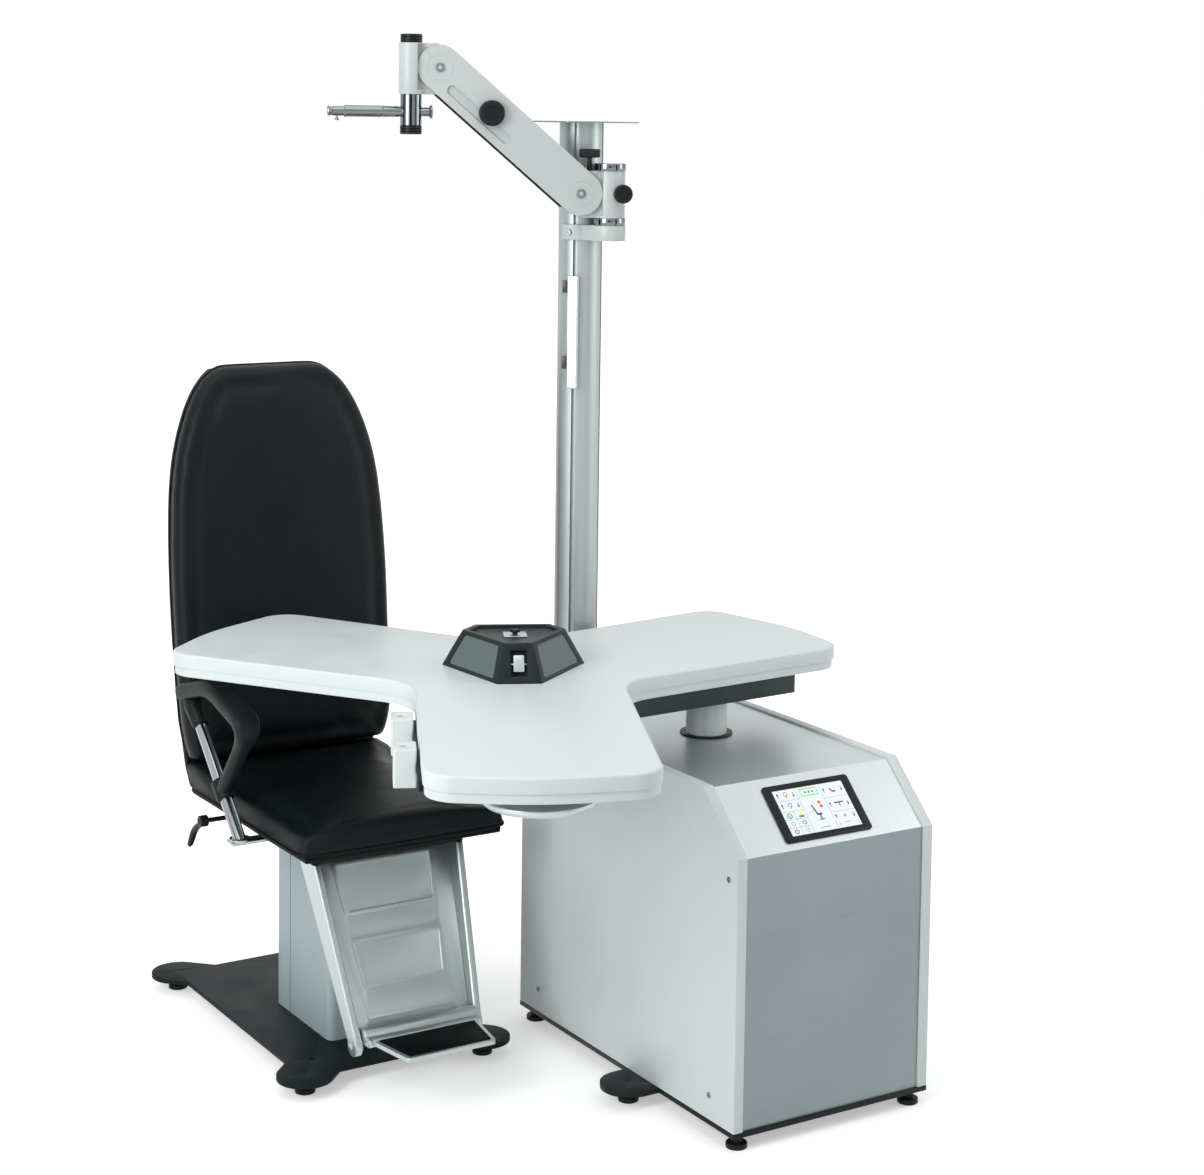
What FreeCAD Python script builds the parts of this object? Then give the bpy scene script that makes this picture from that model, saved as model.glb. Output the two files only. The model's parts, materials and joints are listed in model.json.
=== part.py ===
# An eye examination unit: a lifting chair beside a console that carries a three-lobed
# instrument table on a lifting column, and a pole with a jointed instrument arm.
# Millimetres. X runs right along the console's front, Y runs back, Z is up.
# The origin is on the floor, under the console's front left foot.
import FreeCAD, Part
import math
import os

from FreeCAD import Matrix, Placement, Rotation, Vector

os.makedirs("parts", exist_ok=True)

X, Y, Z = Vector(1, 0, 0), Vector(0, 1, 0), Vector(0, 0, 1)
half_turn, quarter_turn, eighth_turn = 180, 90, 45

# Clearances shared by the whole unit.
gap = 0.5
running_gap = 0.05
overrun = 5

# Levelling feet.
foot_height, foot_radius, foot_pad = 28, 21, 11
foot_nut_radius, foot_stem_radius = 11, 5
foot_inset = 26
foot_edge = 2.5

# Console.
console_width, console_depth = 470, 807
console_height, slope_drop, slope_setback = 653, 112, 118
plate_thickness = 10
panel_thickness, sheet_thickness = 22, 2
front_recess, panel_edge_round = 4, 5
outrigger_x, outrigger_y, outrigger_radius = -60.5, 288, 58
outrigger_overlap = 120

# Touch screen in the sloped sheet.
screen_centre_x, screen_centre_up = 227, 77
bezel_width, bezel_height, bezel_rise, bezel_round = 207, 125, 4, 7
screen_width, screen_height, screen_sink = 168, 100, 1
housing_depth, housing_rim = 24, 8

# Table column and the beam on it.
column_x, column_y = 218, 440
tube_radius, tube_wall, tube_bottom = 43, 4, 262
beam_wall = 6
guide_wall, guide_below_top = 6, 41
collar_radius, collar_rise, collar_depth = 55, 3, 12
beam_above_console, beam_height, beam_width = 71, 72, 132
beam_right_reach, beam_left_reach, beam_round = 190, 70, 12
bearing_radius, bearing_height = 62, 4

# Table top: a hub and three lobes.
hub_x, hub_y = -262, 412
front_lobe_angle, side_lobe_step = -116, 120
table_upper_band, table_lower_band = 28, 18
front_lobe_length, side_lobe_length, lobe_bulge = 800, 714, 32
lobe_half_width, lobe_flare = 202, 38
lobe_corner_round, lobe_notch_round, lobe_tip_round = 60, 130, 520
rim_inset, table_edge_round = 3, 5
disc_place, disc_radius, disc_drop, disc_thickness, disc_neck_radius = 640, 102, 40, 14, 58

# Tool holders on the front lobe's left flank.
holder_places = (350, 560)
holder_length, holder_depth, holder_height, holder_stand = 62, 40, 66, 9
holder_bore_radius, holder_bore_depth, holder_round = 8, 48, 4
rail_start, rail_end = 290, 700

# Hub console: a six-sided frustum with a recessed top.
hub_base_radius, hub_top_radius, hub_height = 145, 105, 71
hub_base_half_angle, hub_top_half_angle = 17.2, 15.1
hub_recess_radius, hub_recess = 92, 6
hub_inset_share, hub_inset_depth = 0.80, 3
hub_plate_width, hub_plate_thickness = 46, 2
knob_radius, knob_height, knob_stem_radius, knob_stem_height, knob_well_gap = 11, 7, 5, 5, 3
rocker_width, rocker_height, rocker_depth = 20, 32, 7
rocker_recess_width, rocker_recess_height, rocker_recess_depth = 32, 52, 13
rocker_pin_radius = 2

# Pole, shelf and reading light.
pole_x, pole_y, pole_radius, pole_top = 71, 728, 46.5, 1944
pole_bore_radius, pole_slot_width, pole_slot_depth = 30, 9, 9
pole_socket_wall, pole_socket_height = 8, 90
pole_hole_gap = 1
shelf_width, shelf_thickness, shelf_round = 180, 3, 6
shelf_spigot = 40
light_below_clamp, light_length, light_width, light_depth = 76, 238, 24, 18
light_lens_width, light_lens_rise, light_lens_round, light_end = 15, 3, 1, 6
clip_shares = (0.172, 0.849)
clip_width, clip_height, clip_depth = 12, 26, 22

# Jointed arm. Its own frame starts at the pivot on the pole's clamp, X along the arm.
pivot_x, pivot_y, arm_azimuth = 88, 640, 160
clamp_below_shelf, clamp_height, clamp_wall, clamp_pad = 246, 32, 10, 34
clamp_pin_radius = 9
ring_height, ring_radius = 16, 33.5
clamp_screw_turn, clamp_end_turn, clamp_end = 34, -32, 38
pivot_body_radius, pivot_body_height = 32, 98
lug_thickness, lug_half_height = 14, 22
arm_reach, arm_run, arm_rise, arm_hinge_up = 65, 298, 257, 99
arm_half_width, arm_half_thickness, arm_skin = 46, 16, 5
arm_pin_radius, arm_pin_head_radius, arm_pin_head = 6, 9, 3
arm_open_low, arm_open_high, sector_steps = -90, 140, 5
knob_disc_radius, knob_disc_width, knob_shank_radius = 27, 17, 5
arm_knob_share = 0.64
arm_slot_start_share, arm_slot_end_share = 0.49, 0.87
arm_slot_offset, arm_slot_width, arm_slot_depth = 19, 22, 2.5
side_knob_radius, side_knob_width, side_knob_place = 20, 15, 20
post_reach, post_sink, post_height, post_cap_radius, post_cap_height = 44, 12, 27, 22, 18

# Head of the arm and the instrument rod.
head_reach, head_radius, head_below, head_above = 57, 25.5, 56, 49
head_cap_radius, head_cap_height = 22.5, 18
head_tube_radius, head_tube_length = 22, 64
spindle_radius = 8
rod_up, rod_radius, rod_length, rod_tip_radius, rod_tip_length = 28, 12, 172, 10, 34
rod_stub, rod_flange_radius, rod_flange_width = 38, 14, 6
peg_radius, peg_height, peg_place = 3, 9, 20

# Chair: base plate, column and lift.
chair_x, chair_y = -397, 906
chair_plate_half_width, chair_plate_front, chair_plate_back = 209, 640, 1313
tab_x, tab_front_y, tab_back_y, tab_radius, tab_length = 203, 648, 1318, 58, 95
access_hole_x, access_hole_y, access_hole_radius = 158, 710, 7
column_half_width, column_depth, column_round, column_wall, column_top = 90, 266, 16, 4, 384
groove_y, groove_width, groove_depth = 967, 4, 2.5
slot_height, slot_rise = 16, 12
mast_gap, mast_bottom, mast_top, mast_wall = 1, 113, 448, 5
carrier_half_width, carrier_front, carrier_back, carrier_thickness = 172, 684, 1020, 8
bearing_ring_radius, bearing_ring_height, bearing_pin_radius = 70, 10, 16

# Footrest: tapering side rails, a pressed panel, a nose bar and a folding plate.
rail_top_z, rail_bottom_z, rail_top_y, rail_bottom_y = 448, 112, 716, 560
rail_top_half, rail_bottom_half, rail_thickness = 171, 142, 16
rail_top_depth, rail_bottom_depth, rail_nose_radius = 74, 44, 21
rail_bolt_radius, rail_bolt_head = 7, 5
panel_sheet, panel_ridge, panel_ridge_width, panel_round = 3, 3, 9, 12
panel_bottom_y, panel_bottom_z, panel_top_y, panel_top_z = 563, 112, 728, 446
upper_field = (247, 358, 105, 116)
lower_field = (99, 202, 94, 104)
low_ridge_up, low_ridge_half, low_ridge_width = 46, 98, 8
nose_radius, nose_y, nose_z = 17, 548, 132
ear_width = 8
tray_back_half, tray_front_half, tray_length, tray_thickness = 117, 98, 118, 9
tray_round, tray_knuckle_radius, tray_z = 9, 9, 127
mat_inset, mat_thickness, tray_pin_radius = 8, 2, 4

# Seat, backrest and armrests.
seat_front, seat_bottom, seat_shell_thickness = 590, 478, 12
crease_y, crease_z, back_lean_share = 1140, 556, 0.12
seat_half_width, seat_thickness, seat_crown, seat_round = 240, 62, 12, 34
seat_corner_round, seat_draw, crease_run = 40, 10, 90
seat_section_shares, seat_edge_share, seat_edge_power = (0, 0.3, 0.6, 0.82, 0.93, 0.98, 1), 0.58, 5
back_thickness, back_crown, back_shell_thickness = 92, 10, 16
back_half_width, back_tuck, back_height = 264, 8, 858
back_height_shares = (0, 0.06, 0.247, 0.434, 0.597, 0.737, 0.865, 0.941, 0.981, 1)
back_width_shares = (0.894, 0.955, 0.992, 1, 0.985, 0.94, 0.826, 0.697, 0.568, 0.394)
back_draw, back_corner_round = 12, 30
back_depth_shares = (0.80, 1, 1, 1, 1, 1, 0.95, 0.84, 0.68, 0.40)
shell_inset, shell_edge_inset, shell_bend = 6, 20, 70
frame_half_width, frame_front, frame_back, frame_thickness = 130, 770, 1000, 12
arm_outside_seat, arm_tube_radius = 28, 13
arm_tube_low_y, arm_tube_top_y = 824, 1064
arm_bar_width, arm_bar_thickness, arm_flange_radius, arm_flange_height = 34, 6, 22, 5
arm_bar_y = 824
pad_width, pad_thickness = 56, 34
pad_below_table, pad_rear_y, pad_top_y, pad_front_y, pad_low_y = 58, 1122, 954, 768, 906
pad_rear_share, pad_front_share, pad_low_share, tube_top_share = 0.836, 0.846, 0.281, 0.767
pad_top_bend, pad_front_bend, pad_edge_round = 190, 26, 11
pad_strut_width, pad_strut_thickness, pad_socket_radius, pad_socket_length = 34, 28, 19, 46
lever_y, lever_z, lever_rod_radius, lever_hub_radius, lever_hub_width = 1010, 470, 5, 12, 18
lever_length, lever_drop_angle, lever_thickness, lever_lug = 104, 45, 12, 12
lever_outside_seat = 22

# Values worked out from those above.
left, front = -foot_inset, -foot_inset
right, back = left + console_width, front + console_depth
plate_bottom = foot_height
plate_top = plate_bottom + plate_thickness
console_top = plate_bottom + console_height
inner_left, inner_right = left + panel_thickness, right - panel_thickness
back_face = back - front_recess
console_front_height = console_height - slope_drop
slope_angle = math.degrees(math.atan2(slope_drop, slope_setback))
guide_top = console_top - guide_below_top
beam_bottom = console_top + beam_above_console
beam_top = beam_bottom + beam_height
table_bottom = beam_top + bearing_height
table_top_z = table_bottom + table_lower_band + table_upper_band
clamp_bottom = pole_top - clamp_below_shelf
light_top = clamp_bottom - light_below_clamp
light_bottom = light_top - light_length
clip_heights = [light_bottom + light_length * share for share in clip_shares]
arm_hinge_z = clamp_bottom + arm_hinge_up
head_bottom = arm_hinge_z + arm_rise - head_below
head_top = arm_hinge_z + arm_rise + head_above
head_tube_bottom = head_bottom - head_tube_length
rod_z = head_tube_bottom + rod_up
back_heights = [crease_z - back_tuck + back_height * share for share in back_height_shares]
back_half_widths = [back_half_width * share for share in back_width_shares]
arm_plane = seat_half_width + arm_outside_seat
lever_reach = seat_half_width + lever_outside_seat
pad_top_z = table_bottom - pad_below_table
pad_rise = pad_top_z - seat_bottom
pad_rear_z, pad_front_z = seat_bottom + pad_rise * pad_rear_share, seat_bottom + pad_rise * pad_front_share
pad_low_z, arm_tube_top_z = seat_bottom + pad_rise * pad_low_share, seat_bottom + pad_rise * tube_top_share


def box(low, high):
    size = high - low
    return Part.makeBox(size.x, size.y, size.z, low)


def rod(radius, start, end):
    run = end - start
    return Part.makeCylinder(radius, run.Length, start, run)


def fuse(shapes):
    return shapes[0].multiFuse(shapes[1:]).removeSplitter()


def outline(points, radii):
    """A closed wire in the XY plane with a tangent arc at each point that has a radius."""
    edges, ends = [], []
    count = len(points)
    if not isinstance(radii, (list, tuple)):
        radii = [radii] * count
    for i, here in enumerate(points):
        before, after = points[i - 1], points[(i + 1) % count]
        a = (before - here).normalize()
        b = (after - here).normalize()
        half = a.getAngle(b) / 2
        reach = radii[i] / math.tan(half)
        middle = here + (a + b).normalize() * (radii[i] / math.sin(half) - radii[i])
        ends.append((here + a * reach, middle, here + b * reach))
    for i, (start, middle, end) in enumerate(ends):
        if radii[i] > 0:
            edges.append(Part.Arc(start, middle, end).toShape())
        edges.append(Part.LineSegment(end, ends[(i + 1) % count][0]).toShape())
    return Part.Wire(edges)


def prism(points, radii, z_low, z_high):
    """An upright prism on a rounded outline."""
    face = Part.Face(outline([Vector(p[0], p[1], z_low) for p in points], radii))
    return face.extrude(Z * (z_high - z_low))


def rectangle(x_low, y_low, x_high, y_high):
    return [(x_low, y_low), (x_high, y_low), (x_high, y_high), (x_low, y_high)]


def turned(shape, origin, along, normal):
    """Moves a shape from the XYZ frame to the frame with these X and Z directions."""
    third = normal.cross(along)
    matrix = Matrix(along.x, third.x, normal.x, origin.x,
                    along.y, third.y, normal.y, origin.y,
                    along.z, third.z, normal.z, origin.z, 0, 0, 0, 1)
    moved = shape.copy()
    moved.Placement = Placement(matrix).multiply(moved.Placement)
    return moved


def side_prism(points, radii, x_low, x_high):
    """A prism along X on an outline given as (y, z) pairs."""
    shape = prism(points, radii, 0, x_high - x_low)
    return turned(shape, Vector(x_low, 0, 0), Y, X)


def mirrored(shape, x_plane):
    return shape.mirror(Vector(x_plane, 0, 0), X)


def save(name, shape):
    shape.exportStep("parts/" + name + ".step")


def foot(x, y):
    """A levelling foot: pad, nut under the plate and a stem in the plate's hole."""
    pad = Part.makeCylinder(foot_radius, foot_pad, Vector(x, y, 0))
    pad = pad.makeFillet(foot_edge, [edge for edge in pad.Edges if len(edge.Vertexes) == 1])
    nut = Part.makeCylinder(foot_nut_radius, foot_height - foot_pad, Vector(x, y, foot_pad))
    stem = Part.makeCylinder(foot_stem_radius, plate_thickness, Vector(x, y, plate_bottom))
    return fuse([pad, nut, stem])


def stem_hole(x, y):
    radius = foot_stem_radius + running_gap
    low = Vector(x, y, plate_bottom - overrun)
    return Part.makeCylinder(radius, plate_thickness + 2 * overrun, low)


# Console: base plate with its outrigger, feet, side panels and folded sheets.
console_feet_places = [(0, 0), (right - foot_inset, 0), (0, back - foot_inset),
                       (right - foot_inset, back - foot_inset), (outrigger_x - gap, outrigger_y)]


def console_base():
    plate = prism(rectangle(left, front, right, back), 0, plate_bottom, plate_top)
    arm = prism(rectangle(outrigger_x, outrigger_y - outrigger_radius,
                          left + outrigger_overlap, outrigger_y + outrigger_radius),
                0, plate_bottom, plate_top)
    end = Part.makeCylinder(outrigger_radius, plate_thickness,
                            Vector(outrigger_x, outrigger_y, plate_bottom))
    plate = fuse([plate, arm, end])
    for x, y in console_feet_places:
        plate = plate.cut(stem_hole(x, y))
    save("console_base_plate", plate)
    save("console_feet", Part.makeCompound([foot(x, y) for x, y in console_feet_places]))


def side_panels():
    profile = [(front, plate_top), (front, plate_bottom + console_front_height),
               (front + slope_setback, console_top), (back, console_top), (back, plate_top)]
    radii = [0, panel_edge_round, panel_edge_round, panel_edge_round, 0]
    save("side_panel_left", side_prism(profile, radii, left, inner_left))
    save("side_panel_right", side_prism(profile, radii, inner_right, right))


def sheet_lines():
    """Outer and inner corner lines of the folded front, slope and top sheets."""
    low_share = math.tan(math.radians(quarter_turn - slope_angle) / 2)
    high_share = math.tan(math.radians(slope_angle) / 2)

    def line(depth):
        turn_low = (front + depth, plate_bottom + console_front_height - depth * low_share)
        turn_high = (front + slope_setback + depth * high_share, console_top - depth)
        return [(front + depth, plate_top), turn_low, turn_high, (back_face, console_top - depth)]
    return line(front_recess), line(front_recess + sheet_thickness)


def sheets():
    outer, inner = sheet_lines()
    parts = []
    for i in range(len(outer) - 1):
        corners = [outer[i], outer[i + 1], inner[i + 1], inner[i]]
        parts.append(side_prism(corners, 0, inner_left, inner_right))
    slope_opening = turned(
        prism(rectangle(-bezel_width / 2 + housing_rim, -bezel_height / 2 + housing_rim,
                        bezel_width / 2 - housing_rim, bezel_height / 2 - housing_rim),
              0, -overrun, overrun), *screen_frame())
    parts[1] = parts[1].cut(slope_opening)
    low = console_top - console_height / 2
    holes = [Part.makeCylinder(collar_radius, console_height, Vector(column_x, column_y, low)),
             Part.makeCylinder(pole_radius + pole_hole_gap, console_height,
                               Vector(pole_x, pole_y, low))]
    parts[2] = parts[2].cut(holes)
    save("front_panel", parts[0])
    save("sloped_panel", parts[1])
    save("top_panel", parts[2])
    save("back_panel", box(Vector(inner_left, back_face, plate_top),
                           Vector(inner_right, back_face + sheet_thickness,
                                  console_top - front_recess)))


# Touch screen: a rim and housing in the sloped sheet, and the display in the rim.
def screen_frame():
    """The screen's origin on the slope, its X direction and its outward direction."""
    slope = math.radians(slope_angle)
    outer = sheet_lines()[0]
    start = Vector(left, outer[1][0], outer[1][1])
    up = Vector(0, math.cos(slope), math.sin(slope))
    origin = start + X * screen_centre_x + up * screen_centre_up
    return origin, X, X.cross(up)


def screen():
    half_w, half_h = bezel_width / 2, bezel_height / 2
    rim = prism(rectangle(-half_w, -half_h, half_w, half_h), bezel_round, 0, bezel_rise)
    housing = prism(rectangle(-half_w + housing_rim, -half_h + housing_rim,
                              half_w - housing_rim, half_h - housing_rim),
                    0, -housing_depth, 0)
    glass = rectangle(-screen_width / 2, -screen_height / 2, screen_width / 2, screen_height / 2)
    pocket = prism(glass, 0, 0, bezel_rise + overrun)
    rim = fuse([rim, housing]).cut(pocket)
    display = prism(glass, 0, 0, bezel_rise - screen_sink)
    save("screen_bezel", turned(rim, *screen_frame()))
    save("screen_face", turned(display, *screen_frame()))


# Screws that show: three in the left panel, two in the right one, and the clamp's.
screw_radius, screw_head = 6, 1.5
screw_front_inset, screw_below_corner, screw_low_inset, screw_back_inset, screw_up = 29, 45, 83, 76, 58
screw_places = ((screw_front_inset, console_front_height - screw_below_corner),
                (screw_low_inset, screw_up), (console_depth - screw_back_inset, screw_up))
clamp_screw_radius, clamp_screw_head = 6, 4


def stand_screws():
    heads = []
    for y, up in screw_places:
        place = Vector(left - screw_head, front + y, plate_bottom + up)
        heads.append(Part.makeCylinder(screw_radius, screw_head, place, X))
        place = Vector(right, front + y, plate_bottom + up)
        heads.append(Part.makeCylinder(screw_radius, screw_head, place, X))
    heads.append(clamp_screw())
    save("stand_screws", Part.makeCompound(heads))


# Inside the console: the column's guide and collar, and the pole's socket.
def inner_supports():
    centre = Vector(column_x, column_y, plate_top)
    inner = tube_radius + running_gap
    guide = Part.makeCylinder(inner + guide_wall, guide_top - plate_top, centre)
    guide = guide.cut(Part.makeCylinder(inner, guide_top, centre + Z * plate_thickness))
    sheet_top = console_top - front_recess
    top = Vector(column_x, column_y, sheet_top - collar_depth)
    collar = Part.makeCylinder(collar_radius, collar_depth + collar_rise, top)
    lip = Part.makeCylinder(inner + guide_wall, top.z - guide_top, centre + Z * (guide_top - plate_top))
    collar = fuse([collar, lip]).cut(
        Part.makeCylinder(tube_radius + gap, console_height, Vector(column_x, column_y, plate_top)))
    socket = Part.makeCylinder(pole_radius + pole_socket_wall, pole_socket_height,
                               Vector(pole_x, pole_y, plate_top))
    socket = socket.common(box(Vector(inner_left, front, plate_top), Vector(right, back_face, guide_top)))
    socket = socket.cut(Part.makeCylinder(pole_radius, pole_socket_height,
                                          Vector(pole_x, pole_y, plate_top)))
    save("inner_supports", Part.makeCompound([fuse([guide, collar]), socket]))


# Table column, the beam on it and the bearing under the hub.
def table_column():
    centre = Vector(column_x, column_y, tube_bottom)
    length = beam_bottom - tube_bottom - running_gap
    tube = Part.makeCylinder(tube_radius, length, centre)
    bore = Part.makeCylinder(tube_radius - tube_wall, length - tube_wall, centre)
    pin = Part.makeCylinder(tube_radius / 2, beam_height / 2, centre + Z * length)
    save("lift_tube", fuse([tube.cut(bore), pin]))


def beam_direction():
    return Vector(hub_x - column_x, hub_y - column_y, 0).normalize()


def table_beam():
    length = math.hypot(hub_x - column_x, hub_y - column_y)
    half = beam_width / 2
    body = prism(rectangle(-beam_right_reach, -half, length + beam_left_reach, half),
                 beam_round, 0, beam_height)
    low, high = beam_wall - beam_right_reach, length + beam_left_reach - beam_wall
    hollow = prism(rectangle(low, beam_wall - half, high, half - beam_wall),
                   beam_round - beam_wall, -overrun, beam_height - beam_wall)
    posts = [Part.makeCylinder(tube_radius, beam_height, Vector(0, 0, 0)),
             Part.makeCylinder(tube_radius, beam_height, Vector(length, 0, 0))]
    body = fuse([body.cut(hollow)] + posts)
    body = turned(body, Vector(column_x, column_y, beam_bottom), beam_direction(), Z)
    socket = Part.makeCylinder(tube_radius / 2 + running_gap, beam_height / 2 + running_gap,
                               Vector(column_x, column_y, beam_bottom))
    hub_pin = Part.makeCylinder(bearing_radius / 2, table_lower_band,
                                Vector(hub_x, hub_y, table_bottom))
    seat = Part.makeCylinder(bearing_radius, table_bottom - beam_top - running_gap,
                             Vector(hub_x, hub_y, beam_top))
    neck = Part.makeCylinder(bearing_radius / 2, table_bottom - beam_top,
                             Vector(hub_x, hub_y, beam_top))
    save("table_arm", fuse([body.cut(socket), seat, neck, hub_pin]))


# Table top: an outline of three flared lobes, cut in an upper and a lower band.
def lobe_corners(angle, length, flare_low, flare_high, inset):
    """One lobe's corner, tip and corner, going anticlockwise."""
    along = Vector(math.cos(math.radians(angle)), math.sin(math.radians(angle)), 0)
    across = Z.cross(along)
    hub = Vector(hub_x, hub_y, 0)
    low, high = lobe_half_width + flare_low - inset, lobe_half_width + flare_high - inset
    shoulder = length - lobe_bulge - inset
    return [hub + along * shoulder - across * low, hub + along * (length - inset),
            hub + along * shoulder + across * high]


def notch_point(first_angle, inset):
    """Where the flanks of two neighbouring lobes meet."""
    angle = math.radians(first_angle + side_lobe_step / 2)
    reach = (lobe_half_width - inset) / math.sin(math.radians(side_lobe_step / 2))
    return Vector(hub_x + reach * math.cos(angle), hub_y + reach * math.sin(angle), 0)


def table_outline(inset):
    lobes = [(front_lobe_angle, front_lobe_length, 0, 0),
             (front_lobe_angle + side_lobe_step, side_lobe_length, 0, lobe_flare),
             (front_lobe_angle + 2 * side_lobe_step, side_lobe_length, lobe_flare, 0)]
    points, radii = [], []
    for angle, length, low, high in lobes:
        points += lobe_corners(angle, length, low, high, inset)
        points.append(notch_point(angle, inset))
        radii += [lobe_corner_round, lobe_tip_round, lobe_corner_round, lobe_notch_round]
    return points, radii


def table():
    bearing_hole = Part.makeCylinder(bearing_radius / 2 + running_gap, table_lower_band + running_gap,
                                     Vector(hub_x, hub_y, table_bottom))
    middle = table_bottom + table_lower_band
    points, radii = table_outline(0)
    top = prism(points, radii, middle, table_top_z)
    top = top.makeFillet(table_edge_round, [edge for edge in top.Edges
                                            if edge.BoundBox.ZMin > table_top_z - running_gap])
    points, radii = table_outline(rim_inset)
    rim = prism(points, radii, table_bottom, middle).cut(bearing_hole)
    save("table_top", top.cut(bearing_hole))
    save("table_rim", rim)
    place = front_lobe_point(disc_place, 0)
    disc = Part.makeCylinder(disc_radius, disc_thickness, place - Z * disc_drop)
    disc = disc.makeChamfer(disc_thickness / 2, [edge for edge in disc.Edges
                            if edge.BoundBox.ZMax < table_bottom - disc_drop + running_gap])
    neck = Part.makeCylinder(disc_neck_radius, disc_drop, place - Z * disc_drop)
    save("lobe_disc", fuse([disc, neck]))


def front_lobe_point(along, across):
    """A place under the front lobe, at the table's underside."""
    angle = math.radians(front_lobe_angle)
    out = Vector(math.cos(angle), math.sin(angle), 0)
    return Vector(hub_x, hub_y, table_bottom) + out * along + Z.cross(out) * across


def lobe_frame(along, across, height):
    """A frame on the front lobe: its place, outward along the lobe, and up."""
    angle = math.radians(front_lobe_angle)
    out = Vector(math.cos(angle), math.sin(angle), 0)
    origin = front_lobe_point(along, across)
    return Vector(origin.x, origin.y, height), out, Z


def tool_holders():
    flank = -(lobe_half_width - rim_inset)
    middle = table_bottom + table_lower_band / 2
    rail = box(Vector(rail_start, -holder_stand, -table_lower_band / 2),
               Vector(rail_end, 0, table_lower_band / 2))
    save("holder_rail", turned(rail, *lobe_frame(0, flank, middle)))
    blocks = []
    for place in holder_places:
        block = prism(rectangle(-holder_length / 2, -holder_depth, holder_length / 2, 0),
                      holder_round, -holder_height, 0)
        bore = Part.makeCylinder(holder_bore_radius, holder_bore_depth,
                                 Vector(0, -holder_depth / 2, -holder_bore_depth))
        frame = lobe_frame(place, flank - holder_stand, table_top_z - table_edge_round)
        blocks.append(turned(block.cut(bore), *frame))
    save("tool_holders", Part.makeCompound(blocks))


# Hub console on the table.
def hub_corner(angle, radius, height):
    turn = math.radians(angle)
    return Vector(hub_x + radius * math.cos(turn), hub_y + radius * math.sin(turn),
                  table_top_z + height)


def hub_ring(radius, half_angle, height):
    """Six corners, two beside each lobe's axis."""
    corners = []
    for lobe in range(3):
        middle = front_lobe_angle + lobe * side_lobe_step
        corners += [hub_corner(middle - half_angle, radius, height),
                    hub_corner(middle + half_angle, radius, height)]
    return corners


def face_panel(corners, share, depth_low, depth_high):
    """A plate on a flat face, shrunk towards the face's centre."""
    centre = (corners[0] + corners[1] + corners[2] + corners[3]) * 0.25
    normal = (corners[1] - corners[0]).cross(corners[3] - corners[0]).normalize()
    shrunk = [centre + (corner - centre) * share + normal * depth_low for corner in corners]
    return Part.Face(Part.makePolygon(shrunk + shrunk[:1])).extrude(normal * (depth_high - depth_low))


def hub_front_frame():
    """The frame of the short face that looks along the front lobe."""
    angle = math.radians(front_lobe_angle)
    out = Vector(math.cos(angle), math.sin(angle), 0)
    low_reach = hub_base_radius * math.cos(math.radians(hub_base_half_angle))
    high_reach = hub_top_radius * math.cos(math.radians(hub_top_half_angle))
    up = (out * (high_reach - low_reach) + Z * hub_height).normalize()
    across = Z.cross(out)
    origin = Vector(hub_x, hub_y, table_top_z) + out * ((low_reach + high_reach) / 2) + Z * (hub_height / 2)
    return origin, across, across.cross(up)


def hub():
    base = hub_ring(hub_base_radius, hub_base_half_angle, 0)
    top = hub_ring(hub_top_radius, hub_top_half_angle, hub_height)
    body = Part.makeLoft([Part.makePolygon(base + base[:1]), Part.makePolygon(top + top[:1])], True, True)
    low = hub_ring(hub_recess_radius, hub_top_half_angle, hub_height - hub_recess)
    recess = Part.Face(Part.makePolygon(low + low[:1])).extrude(Z * (hub_recess + overrun))
    body = body.cut(recess)
    panels = []
    for lobe in range(3):
        i, j = 2 * lobe + 1, (2 * lobe + 2) % 6
        corners = [base[i], base[j], top[j], top[i]]
        body = body.cut(face_panel(corners, hub_inset_share, -hub_inset_depth, overrun))
        panels.append(face_panel(corners, hub_inset_share, -hub_inset_depth, -hub_inset_depth / 3))
    frame = hub_front_frame()
    half_w, half_h = rocker_recess_width / 2, rocker_recess_height / 2
    pocket = prism(rectangle(-half_w, -half_h, half_w, half_h), rocker_pin_radius,
                   -rocker_recess_depth, overrun)
    body = body.cut(turned(pocket, *frame))
    reach = half_w + rocker_pin_radius
    pin_hole = rod(rocker_pin_radius + running_gap, Vector(-reach - gap, 0, -rocker_depth),
                   Vector(reach + gap, 0, -rocker_depth))
    body = body.cut(turned(pin_hole, *frame))
    rocker = prism(rectangle(-rocker_width / 2, -rocker_height / 2, rocker_width / 2, rocker_height / 2),
                   rocker_pin_radius, -rocker_depth - rocker_pin_radius, 0)
    pin = rod(rocker_pin_radius, Vector(-reach, 0, -rocker_depth), Vector(reach, 0, -rocker_depth))
    save("hub_rocker", turned(fuse([rocker, pin]), *frame))
    floor = table_top_z + hub_height - hub_recess
    centre = Vector(hub_x, hub_y, floor)
    well = Part.makeCylinder(knob_stem_radius + knob_well_gap, hub_height / 2,
                             centre - Z * (hub_height / 2))
    save("hub_body", body.cut(well))
    save("hub_panels", Part.makeCompound(panels))
    plate = prism(rectangle(-hub_plate_width / 2, -hub_plate_width / 2,
                            hub_plate_width / 2, hub_plate_width / 2), 0, 0, hub_plate_thickness)
    angle = math.radians(front_lobe_angle + quarter_turn)
    plate = turned(plate, centre, Vector(math.cos(angle), math.sin(angle), 0), Z)
    hole = Part.makeCylinder(knob_stem_radius + gap, hub_plate_thickness, centre)
    save("hub_plate", plate.cut(hole))
    stem = Part.makeCylinder(knob_stem_radius, 2 * knob_stem_height, centre - Z * knob_stem_height)
    cap = Part.makeCylinder(knob_radius, knob_height, centre + Z * knob_stem_height)
    save("hub_knob", fuse([stem, cap]))


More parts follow.
